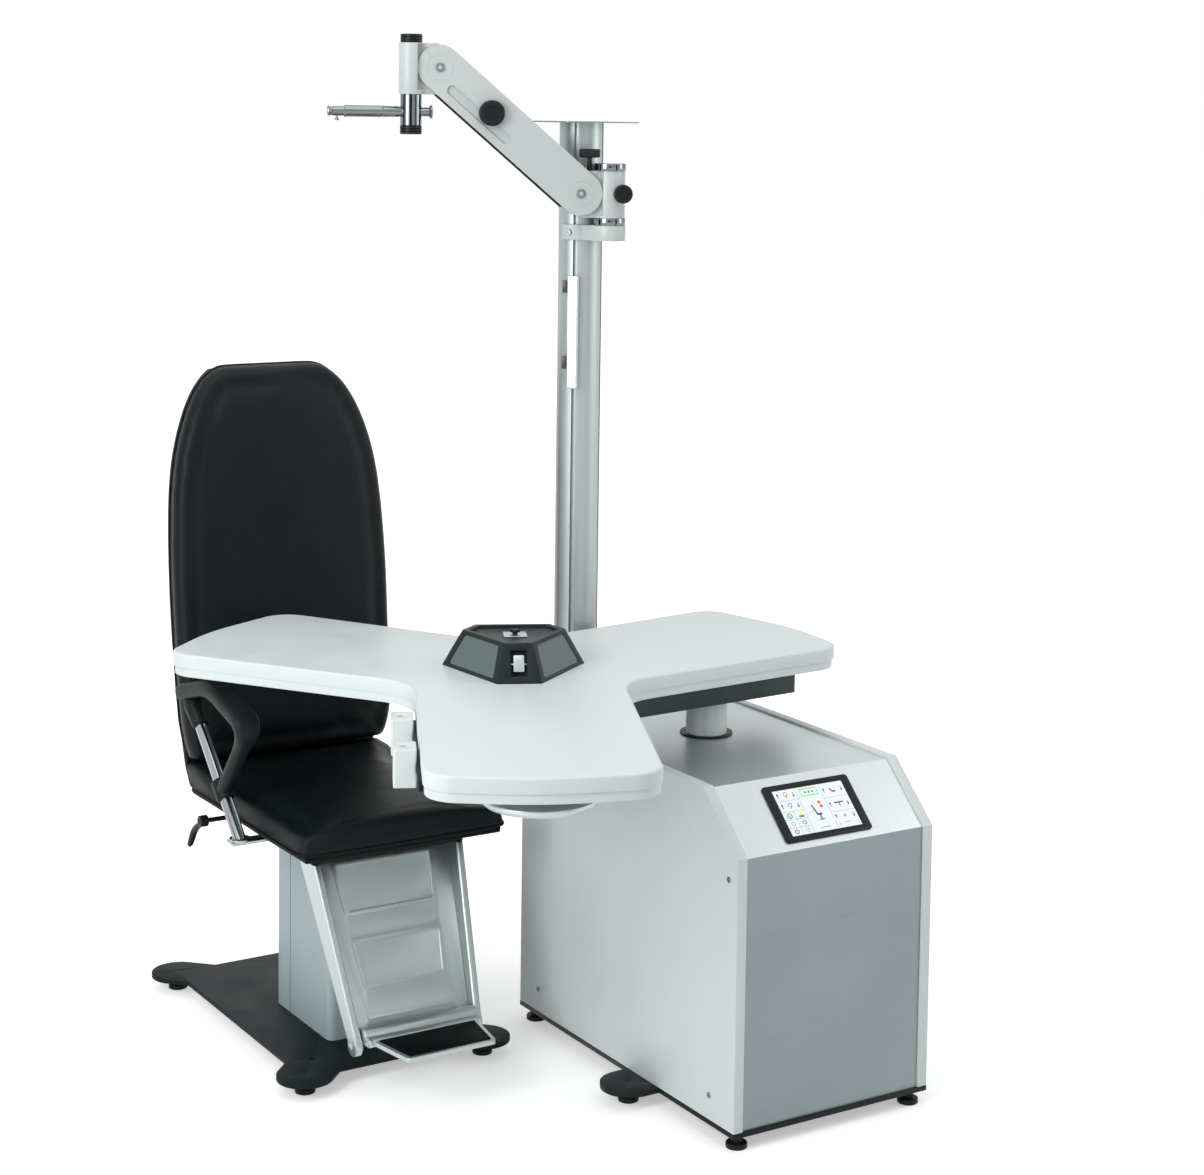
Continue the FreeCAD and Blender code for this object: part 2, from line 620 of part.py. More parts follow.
# Pole with four long slots, its shelf, and the reading light in one slot.
def pole():
    centre = Vector(pole_x, pole_y, plate_top)
    height = pole_top - plate_top
    body = Part.makeCylinder(pole_radius, height, centre)
    body = body.cut(Part.makeCylinder(pole_bore_radius, height, centre))
    slot = box(Vector(pole_radius - pole_slot_depth, -pole_slot_width / 2, plate_top - overrun),
               Vector(pole_radius + overrun, pole_slot_width / 2, pole_top + overrun))
    for turn in range(4):
        cut = slot.copy()
        cut.Placement = Placement(Vector(pole_x, pole_y, 0),
                                  Rotation(Z, eighth_turn + turn * quarter_turn))
        body = body.cut(cut)
    save("pole", body)
    half = shelf_width / 2
    plate = prism(rectangle(pole_x - half, pole_y - half, pole_x + half, pole_y + half),
                  shelf_round, pole_top, pole_top + shelf_thickness)
    spigot = Part.makeCylinder(pole_bore_radius, shelf_spigot,
                               Vector(pole_x, pole_y, pole_top - shelf_spigot))
    save("shelf_plate", fuse([plate, spigot]))


def slot_frame():
    """Pole axis, the front left slot's outward direction as X, and up."""
    angle = math.radians(half_turn + eighth_turn)
    return Vector(pole_x, pole_y, 0), Vector(math.cos(angle), math.sin(angle), 0), Z


def reading_light():
    face = pole_radius
    body = prism(rectangle(face, -light_width / 2, face + light_depth, light_width / 2),
                 shelf_thickness, light_bottom, light_top)
    tongue = box(Vector(face - pole_slot_depth / 2, -pole_slot_width / 2, light_bottom),
                 Vector(face + shelf_thickness, pole_slot_width / 2, light_top))
    lens = prism(rectangle(face + light_depth - light_lens_rise, -light_lens_width / 2,
                           face + light_depth + light_lens_rise, light_lens_width / 2),
                 light_lens_round, light_bottom + light_end, light_top - light_end)
    housing = fuse([body, tongue]).cut(lens)
    save("light_housing", turned(housing, *slot_frame()))
    save("light_diffuser", turned(lens, *slot_frame()))
    clips = []
    for height in clip_heights:
        clip = box(Vector(pole_bore_radius, -light_width / 2 - clip_width, height),
                   Vector(face + clip_depth / 2, -light_width / 2, height + clip_height))
        clip = clip.cut(Part.makeCylinder(pole_radius, pole_top, Vector(0, 0, 0)))
        clips.append(turned(clip, *slot_frame()))
    save("light_clips", Part.makeCompound(clips))


# Jointed arm, built in its own frame: X along the arm, Y towards the front, Z up.
def arm_frame():
    angle = math.radians(arm_azimuth)
    return Vector(pivot_x, pivot_y, 0), Vector(math.cos(angle), math.sin(angle), 0), Z


def clamp_direction():
    return Vector(pivot_x - pole_x, pivot_y - pole_y, 0)


def clamp_screw():
    """The screw's head on the clamp's lug, looking to the front left."""
    angle = math.radians(half_turn + clamp_screw_turn)
    out = Vector(math.cos(angle), math.sin(angle), 0)
    start = Vector(pole_x, pole_y, clamp_bottom + clamp_height / 2) + out * (pole_radius + clamp_wall)
    return Part.makeCylinder(clamp_screw_radius, clamp_screw_head, start, out)


def arm_clamp():
    low = Vector(pole_x, pole_y, clamp_bottom)
    band = Part.makeCylinder(pole_radius + clamp_wall, clamp_height, low)
    run = clamp_direction()
    bridge = prism(rectangle(0, -clamp_pad, run.Length, clamp_pad), 0, clamp_bottom,
                   clamp_bottom + clamp_height)
    bridge = turned(bridge, Vector(pole_x, pole_y, 0), Vector(run).normalize(), Z)
    boss = Part.makeCylinder(clamp_pad, clamp_height, Vector(pivot_x, pivot_y, clamp_bottom))
    pin_height = ring_height + pivot_body_height - gap
    pin = Part.makeCylinder(clamp_pin_radius, pin_height,
                            Vector(pivot_x, pivot_y, clamp_bottom + clamp_height))
    reach = pole_radius + clamp_wall
    outside = prism(rectangle(clamp_end, -reach, reach + overrun, reach), 0, 0, clamp_height)
    angle = math.radians(half_turn + clamp_end_turn)
    outside = turned(outside, low, Vector(math.cos(angle), math.sin(angle), 0), Z)
    band = fuse([band, bridge, boss]).cut([Part.makeCylinder(pole_radius, clamp_height, low), outside])
    save("arm_clamp", fuse([band, pin]))


def hinge_pin(x, z):
    """A cross pin through the arm's two sides, with a head in front."""
    reach = arm_half_thickness + running_gap
    pin = rod(arm_pin_radius, Vector(x, -arm_half_thickness, z), Vector(x, reach, z))
    head = rod(arm_pin_head_radius, Vector(x, reach, z), Vector(x, reach + arm_pin_head, z))
    return [pin, head]


def lug(x_low, x_high, x_hinge, z_low, z_high, z):
    """A flat web with a round end on the hinge, thin enough to turn between the arm's sides."""
    bar = box(Vector(x_low, -lug_thickness / 2, z_low), Vector(x_high, lug_thickness / 2, z_high))
    end = rod(lug_half_height, Vector(x_hinge, -lug_thickness / 2, z),
              Vector(x_hinge, lug_thickness / 2, z))
    return [bar, end]


def arm_clearance(x_low, x_high, z):
    """The space beside a lug where the arm's sides turn."""
    reach = arm_half_width + gap
    sides = []
    for side in (-1, 1):
        y_low, y_high = sorted([side * lug_thickness / 2, side * arm_half_width])
        sides.append(box(Vector(x_low, y_low, z - reach), Vector(x_high, y_high, z + reach)))
    return sides


def arm_pivot():
    low = clamp_bottom + clamp_height + running_gap
    body_low = low + ring_height
    rings = [Part.makeCylinder(ring_radius, ring_height, Vector(0, 0, low)),
             Part.makeCylinder(ring_radius, ring_height, Vector(0, 0, body_low + pivot_body_height))]
    body = Part.makeCylinder(pivot_body_radius, pivot_body_height, Vector(0, 0, body_low))
    near = arm_reach - arm_half_width - gap
    body = body.cut(arm_clearance(near, arm_reach, arm_hinge_z))
    body_high = body_low + pivot_body_height
    body = fuse([body] + lug(0, arm_reach, arm_reach, body_low, body_high, arm_hinge_z)
                + hinge_pin(arm_reach, arm_hinge_z))
    bore = Part.makeCylinder(clamp_pin_radius + running_gap, ring_height + pivot_body_height,
                             Vector(0, 0, low))
    knob_x = -side_knob_place
    knob_hole = rod(knob_shank_radius + running_gap, Vector(knob_x, 0, arm_hinge_z),
                    Vector(knob_x, pivot_body_radius, arm_hinge_z))
    post_hole = Part.makeCylinder(knob_shank_radius + running_gap, post_sink + overrun,
                                  Vector(post_reach, 0, body_high - post_sink))
    body = body.cut([bore, knob_hole, post_hole])
    rings[0] = rings[0].cut(bore)
    save("pivot_body", turned(body, *arm_frame()))
    save("pivot_rings", turned(Part.makeCompound(rings), *arm_frame()))
    start = Vector(knob_x, pivot_body_radius + gap, arm_hinge_z)
    knob = fuse([rod(knob_shank_radius, Vector(knob_x, gap, arm_hinge_z), start),
                 rod(side_knob_radius, start, start + Y * side_knob_width)])
    save("pivot_knob", turned(knob, *arm_frame()))
    low = Vector(post_reach, 0, body_high - post_sink + gap)
    length = post_height + post_sink
    post = fuse([Part.makeCylinder(knob_shank_radius, length, low),
                 Part.makeCylinder(post_cap_radius, post_cap_height, low + Z * length)])
    save("post_knob", turned(post, *arm_frame()))


def stadium(start, end, radius, y_low, y_high):
    """A bar with round ends in the arm's XZ plane."""
    run = end - start
    side = Vector(-run.z, 0, run.x).normalize() * radius
    ahead = Vector(run).normalize() * radius
    edges = [Part.LineSegment(start - side, end - side), Part.Arc(end - side, end + ahead, end + side),
             Part.LineSegment(end + side, start + side),
             Part.Arc(start + side, start - ahead, start - side)]
    face = Part.Face(Part.Wire([edge.toShape() for edge in edges]))
    face.translate(Y * y_low)
    return face.extrude(Y * (y_high - y_low))


def sector(centre, from_angle, to_angle, radius, half):
    """A wedge of the arm's XZ plane, for the openings that the lugs turn in."""
    rim = []
    for i in range(sector_steps + 1):
        angle = math.radians(from_angle + (to_angle - from_angle) * i / sector_steps)
        rim.append(centre + Vector(math.cos(angle), 0, math.sin(angle)) * radius)
    points = [point - Y * half for point in [centre] + rim]
    return Part.Face(Part.makePolygon(points + points[:1])).extrude(Y * (2 * half))


def arm_beam():
    near = Vector(arm_reach, 0, arm_hinge_z)
    far = near + Vector(arm_run, 0, arm_rise)
    run = Vector(far - near).normalize()
    lean = math.degrees(math.atan2(arm_rise, arm_run))
    down = Vector(run.z, 0, -run.x)
    inner = arm_half_thickness - arm_skin
    outer = stadium(near, far, arm_half_width, -arm_half_thickness, arm_half_thickness)
    hollow = stadium(near, far, arm_half_width - arm_skin, -inner, inner)
    wide = 2 * arm_half_width
    back_angle = lean + half_turn
    openings = [sector(near, back_angle - arm_open_high, back_angle - arm_open_low, wide, inner),
                sector(far, lean - arm_open_high, lean - arm_open_low, wide, inner)]
    corners = [near, far, far + down * wide, near + down * wide]
    corners = [corner - Y * inner for corner in corners]
    openings.append(Part.Face(Part.makePolygon(corners + corners[:1])).extrude(Y * (2 * inner)))
    body = outer.cut([hollow] + openings)
    across = Y * arm_half_width
    for hinge in (near, far):
        body = body.cut(rod(arm_pin_radius + running_gap, hinge - across, hinge + across))
    length = (far - near).Length
    knob = near + run * (length * arm_knob_share)
    body = body.cut(rod(knob_shank_radius + running_gap, knob, knob + across))
    low = near + down * arm_slot_offset
    groove = stadium(low + run * (length * arm_slot_start_share), low + run * (length * arm_slot_end_share),
                     arm_slot_width / 2, arm_half_thickness - arm_slot_depth, arm_half_thickness + overrun)
    save("arm_beam", turned(body.cut(groove), *arm_frame()))
    outside = arm_half_thickness + gap
    turn = fuse([rod(knob_shank_radius, knob + Y * inner, knob + Y * outside),
                 rod(knob_disc_radius, knob + Y * outside, knob + Y * (outside + knob_disc_width))])
    save("arm_knob", turned(turn, *arm_frame()))


def arm_head():
    hinge_x, hinge_z = arm_reach + arm_run, arm_hinge_z + arm_rise
    axis_x = hinge_x + head_reach
    body = Part.makeCylinder(head_radius, head_top - head_bottom, Vector(axis_x, 0, head_bottom))
    body = body.cut(arm_clearance(hinge_x, hinge_x + arm_half_width + gap, hinge_z))
    body = fuse([body] + lug(hinge_x, axis_x, hinge_x, head_bottom, head_top, hinge_z)
                + hinge_pin(hinge_x, hinge_z))
    bore = Part.makeCylinder(spindle_radius + running_gap, head_top - head_bottom,
                             Vector(axis_x, 0, head_bottom))
    save("head_block", turned(body.cut(bore), *arm_frame()))
    tube_height = head_bottom - head_tube_bottom - running_gap
    spindle_height = head_top - head_tube_bottom + running_gap
    end = axis_x + rod_length
    tube = [Part.makeCylinder(head_tube_radius, tube_height, Vector(axis_x, 0, head_tube_bottom)),
            Part.makeCylinder(spindle_radius, spindle_height, Vector(axis_x, 0, head_tube_bottom)),
            rod(rod_radius, Vector(axis_x - rod_stub, 0, rod_z), Vector(end - rod_tip_length, 0, rod_z)),
            rod(rod_tip_radius, Vector(end - rod_tip_length, 0, rod_z), Vector(end, 0, rod_z)),
            rod(rod_flange_radius, Vector(axis_x - rod_stub - rod_flange_width, 0, rod_z),
                Vector(axis_x - rod_stub, 0, rod_z)),
            rod(peg_radius, Vector(end - peg_place, 0, rod_z - rod_tip_radius - peg_height),
                Vector(end - peg_place, 0, rod_z))]
    save("head_rod", turned(fuse(tube), *arm_frame()))
    caps = [Part.makeCylinder(head_cap_radius, head_cap_height,
                              Vector(axis_x, 0, head_tube_bottom - head_cap_height)),
            Part.makeCylinder(head_cap_radius, head_cap_height, Vector(axis_x, 0, head_top + running_gap))]
    save("head_caps", turned(Part.makeCompound(caps), *arm_frame()))


# Chair: base plate with four feet on tabs that point out at an eighth of a turn.
def chair_feet_places():
    return [(chair_x + side * tab_x, y) for y in (tab_front_y, tab_back_y) for side in (-1, 1)]


def chair_base():
    plate = prism(rectangle(chair_x - chair_plate_half_width, chair_plate_front,
                            chair_x + chair_plate_half_width, chair_plate_back), 0,
                  plate_bottom, plate_top)
    pieces = [plate]
    middle = Vector(chair_x, (tab_front_y + tab_back_y) / 2, 0)
    for x, y in chair_feet_places():
        end = Vector(x, y, plate_bottom)
        inward = Vector(math.copysign(1, middle.x - x), math.copysign(1, middle.y - y), 0).normalize()
        tab = box(Vector(0, -tab_radius, 0), Vector(tab_length, tab_radius, plate_thickness))
        pieces.append(turned(tab, end, inward, Z))
        pieces.append(Part.makeCylinder(tab_radius, plate_thickness, end))
    plate = fuse(pieces)
    for x, y in chair_feet_places():
        plate = plate.cut(stem_hole(x, y))
    for side in (-1, 1):
        hole = Part.makeCylinder(access_hole_radius, plate_thickness,
                                 Vector(chair_x + side * access_hole_x, access_hole_y, plate_bottom))
        plate = plate.cut(hole)
    save("chair_base_plate", plate)
    save("chair_feet", Part.makeCompound([foot(x, y) for x, y in chair_feet_places()]))


def tube_box(inset, wall, z_low, z_high):
    """An upright rounded box tube on the chair's axis, inset from the column's outside."""
    half_x, half_y = column_half_width - inset, column_depth / 2 - inset
    outer = prism(rectangle(chair_x - half_x, chair_y - half_y, chair_x + half_x, chair_y + half_y),
                  column_round - inset, z_low, z_high)
    half_x, half_y = half_x - wall, half_y - wall
    inner = prism(rectangle(chair_x - half_x, chair_y - half_y, chair_x + half_x, chair_y + half_y),
                  column_round - inset - wall, z_low, z_high)
    return outer.cut(inner)


def chair_column():
    column = tube_box(0, column_wall, plate_top, column_top)
    for side in (-1, 1):
        face = chair_x + side * column_half_width
        groove = box(Vector(face - groove_depth, groove_y - groove_width / 2, plate_top),
                     Vector(face + groove_depth, groove_y + groove_width / 2, column_top))
        slot = box(Vector(face - column_wall - gap, groove_y - groove_width / 2, plate_top + slot_rise),
                   Vector(face + groove_depth, groove_y + groove_width / 2,
                          plate_top + slot_rise + slot_height))
        column = column.cut([groove, slot])
    save("chair_column", column)


def chair_lift():
    save("lift_mast", tube_box(column_wall + mast_gap, mast_wall, mast_bottom, mast_top))
    plate = box(Vector(chair_x - carrier_half_width, carrier_front, mast_top),
                Vector(chair_x + carrier_half_width, carrier_back, mast_top + carrier_thickness))
    top = Vector(chair_x, chair_y, mast_top + carrier_thickness)
    ring = Part.makeCylinder(bearing_ring_radius, bearing_ring_height, top)
    pin = Part.makeCylinder(bearing_pin_radius, bearing_ring_height + frame_thickness - gap, top)
    save("seat_carrier", fuse([plate, ring, pin]))


# Footrest.
def rail(side):
    """One side rail: a loft from its wide top to its narrow nose."""
    def level(half, y, depth, z):
        outer, inner = chair_x + side * half, chair_x + side * (half - rail_thickness)
        low, high = min(outer, inner), max(outer, inner)
        corners = rectangle(low, y - depth / 2, high, y + depth / 2)
        return outline([Vector(p[0], p[1], z) for p in corners], rail_thickness / 3)
    body = Part.makeLoft([level(rail_bottom_half, rail_bottom_y, rail_bottom_depth, rail_bottom_z),
                          level(rail_top_half, rail_top_y, rail_top_depth, rail_top_z)], True, True)
    x = chair_x + side * rail_bottom_half
    nose = rod(rail_nose_radius, Vector(x, rail_bottom_y, rail_bottom_z),
               Vector(x - side * (rail_thickness - panel_sheet), rail_bottom_y, rail_bottom_z))
    return fuse([body, nose])


def slope_frame():
    """The footrest panel's lower middle, X, and its outward direction."""
    up = Vector(0, panel_top_y - panel_bottom_y, panel_top_z - panel_bottom_z).normalize()
    return Vector(chair_x, panel_bottom_y, panel_bottom_z), X, X.cross(up)


def footrest():
    save("rail_left", rail(-1))
    save("rail_right", rail(1))
    length = math.hypot(panel_top_y - panel_bottom_y, panel_top_z - panel_bottom_z)
    low_half = rail_bottom_half - rail_thickness - gap
    high_half = rail_top_half - rail_thickness - gap
    sheet = prism([(-low_half, 0), (low_half, 0), (high_half, length), (-high_half, length)],
                  0, 0, panel_sheet)
    pieces = [sheet]
    ridge_top = panel_sheet + panel_ridge
    edge = panel_ridge_width
    for low, high, low_width, high_width in (upper_field, lower_field):
        field = [(-low_width, low), (low_width, low), (high_width, high), (-high_width, high)]
        inside = [(-low_width + edge, low + edge), (low_width - edge, low + edge),
                  (high_width - edge, high - edge), (-high_width + edge, high - edge)]
        inner = prism(inside, panel_round - edge / 2, panel_sheet, ridge_top)
        pieces.append(prism(field, panel_round, panel_sheet, ridge_top).cut(inner))
    half = low_ridge_width / 2
    ridge = rectangle(-low_ridge_half, low_ridge_up - half, low_ridge_half, low_ridge_up + half)
    pieces.append(prism(ridge, half - gap, panel_sheet, ridge_top))
    save("footrest_panel", turned(fuse(pieces), *slope_frame()))


def tray_axis_y():
    return nose_y - nose_radius - tray_knuckle_radius - gap


def nose_bar():
    half = rail_bottom_half - rail_thickness
    bar = rod(nose_radius, Vector(chair_x - half, nose_y, nose_z), Vector(chair_x + half, nose_y, nose_z))
    pieces = [bar]
    axis_y = tray_axis_y()
    for side in (-1, 1):
        x_low, x_high = sorted([chair_x + side * half, chair_x + side * (half - ear_width)])
        pieces.append(box(Vector(x_low, axis_y, tray_z - tray_knuckle_radius),
                          Vector(x_high, nose_y, tray_z + tray_knuckle_radius)))
        pieces.append(rod(tray_knuckle_radius, Vector(x_low, axis_y, tray_z),
                          Vector(x_high, axis_y, tray_z)))
    body = fuse(pieces)
    body = body.cut(rod(tray_pin_radius + running_gap, Vector(chair_x - half, axis_y, tray_z),
                        Vector(chair_x + half, axis_y, tray_z)))
    bolts = []
    for side in (-1, 1):
        face = chair_x + side * (rail_bottom_half + gap)
        bolts.append(rod(rail_bolt_radius, Vector(face, rail_bottom_y, rail_bottom_z),
                         Vector(face + side * rail_bolt_head, rail_bottom_y, rail_bottom_z)))
    save("nose_bar", Part.makeCompound([body] + bolts))


def foot_plate():
    axis_y = tray_axis_y()
    front_y = axis_y - tray_length
    low = tray_z - tray_thickness / 2
    tray = prism([(chair_x - tray_front_half, front_y), (chair_x + tray_front_half, front_y),
                  (chair_x + tray_back_half, axis_y), (chair_x - tray_back_half, axis_y)],
                 [tray_round, tray_round, 0, 0], low, low + tray_thickness)
    knuckle = rod(tray_knuckle_radius, Vector(chair_x - tray_back_half, axis_y, tray_z),
                  Vector(chair_x + tray_back_half, axis_y, tray_z))
    half = rail_bottom_half - rail_thickness - gap
    pin = rod(tray_pin_radius, Vector(chair_x - half, axis_y, tray_z),
              Vector(chair_x + half, axis_y, tray_z))
    save("foot_tray", fuse([tray, knuckle, pin]))
    inset_back = tray_knuckle_radius + gap
    slant = (tray_back_half - tray_front_half) / tray_length
    top = low + tray_thickness
    front_half = tray_front_half - mat_inset
    back_half = tray_back_half - mat_inset - slant * inset_back
    mat = prism([(chair_x - front_half, front_y + mat_inset), (chair_x + front_half, front_y + mat_inset),
                 (chair_x + back_half, axis_y - inset_back), (chair_x - back_half, axis_y - inset_back)],
                mat_thickness, top, top + mat_thickness)
    save("foot_mat", mat)


# Seat: frame, shell, two cushions, armrests and the swivel's lock lever.
def back_front_y(z):
    """The backrest's front face at a height."""
    return crease_y + (z - crease_z) * back_lean_share


def seat_frame():
    low = mast_top + carrier_thickness + bearing_ring_height + running_gap
    frame = box(Vector(chair_x - frame_half_width, frame_front, low),
                Vector(chair_x + frame_half_width, frame_back, seat_bottom))
    lug_x = chair_x - frame_half_width
    lug = box(Vector(lug_x, frame_back - lever_lug, lever_z - lever_lug),
              Vector(lug_x + lever_lug, lever_y + lever_lug, seat_bottom))
    bore = Part.makeCylinder(bearing_pin_radius + running_gap, frame_thickness,
                             Vector(chair_x, chair_y, low))
    hole = rod(lever_rod_radius + running_gap, Vector(lug_x - gap, lever_y, lever_z),
               Vector(lug_x + lever_lug + gap, lever_y, lever_z))
    save("seat_frame", fuse([frame, lug]).cut([bore, hole]))


def seat_shell():
    """An L-shaped shell: a side profile cut to the seat's and backrest's outline."""
    rear = back_thickness - shell_inset
    thick, top = back_shell_thickness, back_heights[-2]
    low_y = back_front_y(seat_bottom) + rear
    floor = seat_bottom + seat_shell_thickness
    profile = [(seat_front + shell_edge_inset, seat_bottom), (low_y, seat_bottom),
               (back_front_y(top) + rear, top), (back_front_y(top) + rear - thick, top),
               (back_front_y(floor) + rear - thick, floor),
               (seat_front + shell_edge_inset, floor)]
    side = side_prism(profile, [0, shell_bend, 0, 0, shell_bend - thick, 0],
                      chair_x - seat_half_width * 2, chair_x + seat_half_width * 2)
    points = [(seat_half_width - shell_edge_inset, seat_bottom - overrun)]
    points += [(half - shell_edge_inset, z)
               for half, z in zip(back_half_widths[1:-1], back_heights[1:-1])]
    flanks = []
    for turn in (1, -1):
        flank = Part.BSplineCurve()
        flank.interpolate([Vector(chair_x + turn * x, 0, z) for x, z in points])
        flanks.append(flank)
    right_flank, left_flank = flanks
    edges = [right_flank, Part.LineSegment(right_flank.EndPoint, left_flank.EndPoint), left_flank,
             Part.LineSegment(left_flank.StartPoint, right_flank.StartPoint)]
    wire = Part.Wire([edge.toShape() for edge in edges])
    front_view = Part.Face(wire).extrude(Y * (2 * crease_y))
    save("seat_shell", side.common(front_view))


def seat_cushion():
    """A loft across the seat: crowned in the middle, drawn in at the sides and front."""
    low = seat_bottom + seat_shell_thickness
    ledge = back_heights[0] - gap
    depth = back_thickness - back_shell_thickness - shell_inset - gap
    turn = shell_bend - back_shell_thickness
    sections = []
    half_shares = [-share for share in seat_section_shares[:0:-1]]
    for share in half_shares + list(seat_section_shares):
        setback = 1 - (1 - abs(share) ** seat_edge_power) ** (1 / seat_edge_power)
        rise_share = 1 - seat_edge_share * setback
        crown = seat_crown * (1 - share * share)
        top = low + seat_thickness * rise_share + crown - seat_crown
        start = seat_front + seat_corner_round * setback
        x = chair_x + seat_half_width * share
        round_top = seat_round * rise_share
        points = [Vector(start + seat_draw, low, 0), Vector(start, low + seat_draw, 0),
                  Vector(start, top, 0), Vector(crease_y - crease_run, top, 0),
                  Vector(crease_y - overrun, ledge, 0), Vector(back_front_y(ledge) + depth, ledge, 0),
                  Vector(back_front_y(low) + depth, low, 0)]
        wire = outline(points, [0, 0, round_top / 2, crease_run / 4, 0, 0, turn])
        sections.append(turned(wire, Vector(x, 0, 0), Y, X))
    save("seat_cushion", Part.makeLoft(sections, True, True))


def back_cushion():
    """A loft up the backrest: crowned in front, drawn in at the top and bottom."""
    sections = []
    for z, half, share in zip(back_heights, back_half_widths, back_depth_shares):
        depth = back_thickness - back_shell_thickness - shell_inset
        rear = back_front_y(z) + depth
        face = rear - depth * share
        turn = min(back_corner_round, depth * share / 2)
        lean = turn * (1 - math.sqrt(0.5))

        def at(x, y):
            return Vector(chair_x + x, y, z)
        edges = [Part.Arc(at(-half + turn, face), at(0, face - back_crown * share), at(half - turn, face)),
                 Part.Arc(at(half - turn, face), at(half - lean, face + lean), at(half, face + turn)),
                 Part.LineSegment(at(half, face + turn), at(half - back_draw, rear)),
                 Part.LineSegment(at(half - back_draw, rear), at(-half + back_draw, rear)),
                 Part.LineSegment(at(-half + back_draw, rear), at(-half, face + turn)),
                 Part.Arc(at(-half, face + turn), at(-half + lean, face + lean), at(-half + turn, face))]
        sections.append(Part.Wire([edge.toShape() for edge in edges]))
    save("back_cushion", Part.makeLoft(sections, True, False))


def tube_axis():
    low = Vector(chair_x - arm_plane, arm_tube_low_y, seat_bottom)
    high = Vector(chair_x - arm_plane, arm_tube_top_y, arm_tube_top_z)
    return low, high


def padded_bar(points, bends, width, thickness, edge_round):
    """A bar with rounded edges along a side path with an arc at each inner corner."""
    edges, start = [], points[0]
    for before, here, after, bend in zip(points, points[1:], points[2:], bends):
        a, b = (before - here).normalize(), (after - here).normalize()
        half = a.getAngle(b) / 2
        reach = bend / math.tan(half)
        middle = here + (a + b).normalize() * (bend / math.sin(half) - bend)
        edges.append(Part.LineSegment(start, here + a * reach).toShape())
        edges.append(Part.Arc(here + a * reach, middle, here + b * reach).toShape())
        start = here + b * reach
    edges.append(Part.LineSegment(start, points[-1]).toShape())
    corners = rectangle(-width / 2, -thickness / 2, width / 2, thickness / 2)
    profile = outline([Vector(x, y, 0) for x, y in corners], edge_round)
    ahead = (points[1] - points[0]).normalize()
    profile = turned(profile, points[0], X, ahead)
    return Part.Wire(edges).makePipeShell([profile], True, False)


def armrests():
    low, high = tube_axis()
    run = Vector(high - low).normalize()
    tube = rod(arm_tube_radius, low - run * arm_tube_radius, high)
    above = box(Vector(low.x - pad_width, seat_front, seat_bottom),
                Vector(low.x + pad_width, crease_y, table_bottom))
    flange = Part.makeCylinder(arm_flange_radius, arm_flange_height, low)
    tube = fuse([tube, flange]).common(above)
    places = ((pad_rear_y, pad_rear_z), (pad_top_y, pad_top_z), (pad_front_y, pad_front_z),
              (pad_low_y, pad_low_z))
    rear, top, corner, foot_end = [Vector(low.x, y, z) for y, z in places]
    down = (foot_end - corner).normalize()
    top = padded_bar([rear, top, corner, corner + down * (2 * pad_front_bend)],
                     [pad_top_bend, pad_front_bend], pad_width, pad_thickness, pad_edge_round)
    strut = padded_bar([corner + down * pad_front_bend, foot_end], [], pad_strut_width,
                       pad_strut_thickness, pad_edge_round)
    socket = rod(pad_socket_radius, high - run * pad_socket_length, high + run * pad_socket_length / 2)
    collar_middle = low + run * ((pad_low_z - low.z) / run.z)
    collar = rod(pad_socket_radius, collar_middle - run * pad_socket_length / 2,
                 collar_middle + run * pad_socket_length / 2)
    core = rod(arm_tube_radius, low - run * arm_tube_radius, high)
    pad = fuse([top, strut, socket, collar]).cut(core)
    save("arm_tube_left", tube)
    save("arm_tube_right", mirrored(tube, chair_x))
    save("arm_pad_left", pad)
    save("arm_pad_right", mirrored(pad, chair_x))
    bars = []
    for side in (-1, 1):
        x_low, x_high = sorted([chair_x + side * frame_half_width,
                                chair_x + side * (arm_plane + arm_flange_radius)])
        bars.append(box(Vector(x_low, arm_bar_y - arm_bar_width / 2, seat_bottom - arm_bar_thickness),
                        Vector(x_high, arm_bar_y + arm_bar_width / 2, seat_bottom)))
    save("armrest_bars", Part.makeCompound(bars))


def lock_lever():
    start = Vector(chair_x - frame_half_width + lever_lug / 2, lever_y, lever_z)
    end = Vector(chair_x - lever_reach, lever_y, lever_z)
    drop = math.radians(lever_drop_angle)
    tip = end + Vector(0, math.cos(drop), -math.sin(drop)) * lever_length - X * (lever_hub_width / 2)
    hub_end = end - X * lever_hub_width
    middle = (end + hub_end) * 0.5
    handle = rod(lever_thickness / 2, middle, tip)
    pieces = [rod(lever_rod_radius, start, end), rod(lever_hub_radius, end, hub_end), handle,
              Part.makeSphere(lever_thickness / 2, tip)]
    save("lock_lever", fuse(pieces))


for make in (console_base, side_panels, sheets, screen, stand_screws, inner_supports, table_column,
             table_beam, table, tool_holders, hub, pole, reading_light, arm_clamp, arm_pivot, arm_beam,
             arm_head, chair_base, chair_column, chair_lift, footrest, nose_bar, foot_plate, seat_frame,
             seat_shell, seat_cushion, back_cushion, armrests, lock_lever):
    make()
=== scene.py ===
# %% [markdown]
# This notebook dresses an eye examination unit: a lifting chair, a console with a
# lobed table, and a pole with a jointed arm. The measured model comes in first and
# stays where it is. Every looks-only piece is built around it, in metres.

# %% Load the measured model
import json
import math

import bmesh
import bpy
from mathutils import Matrix, Vector
from mathutils.geometry import convex_hull_2d


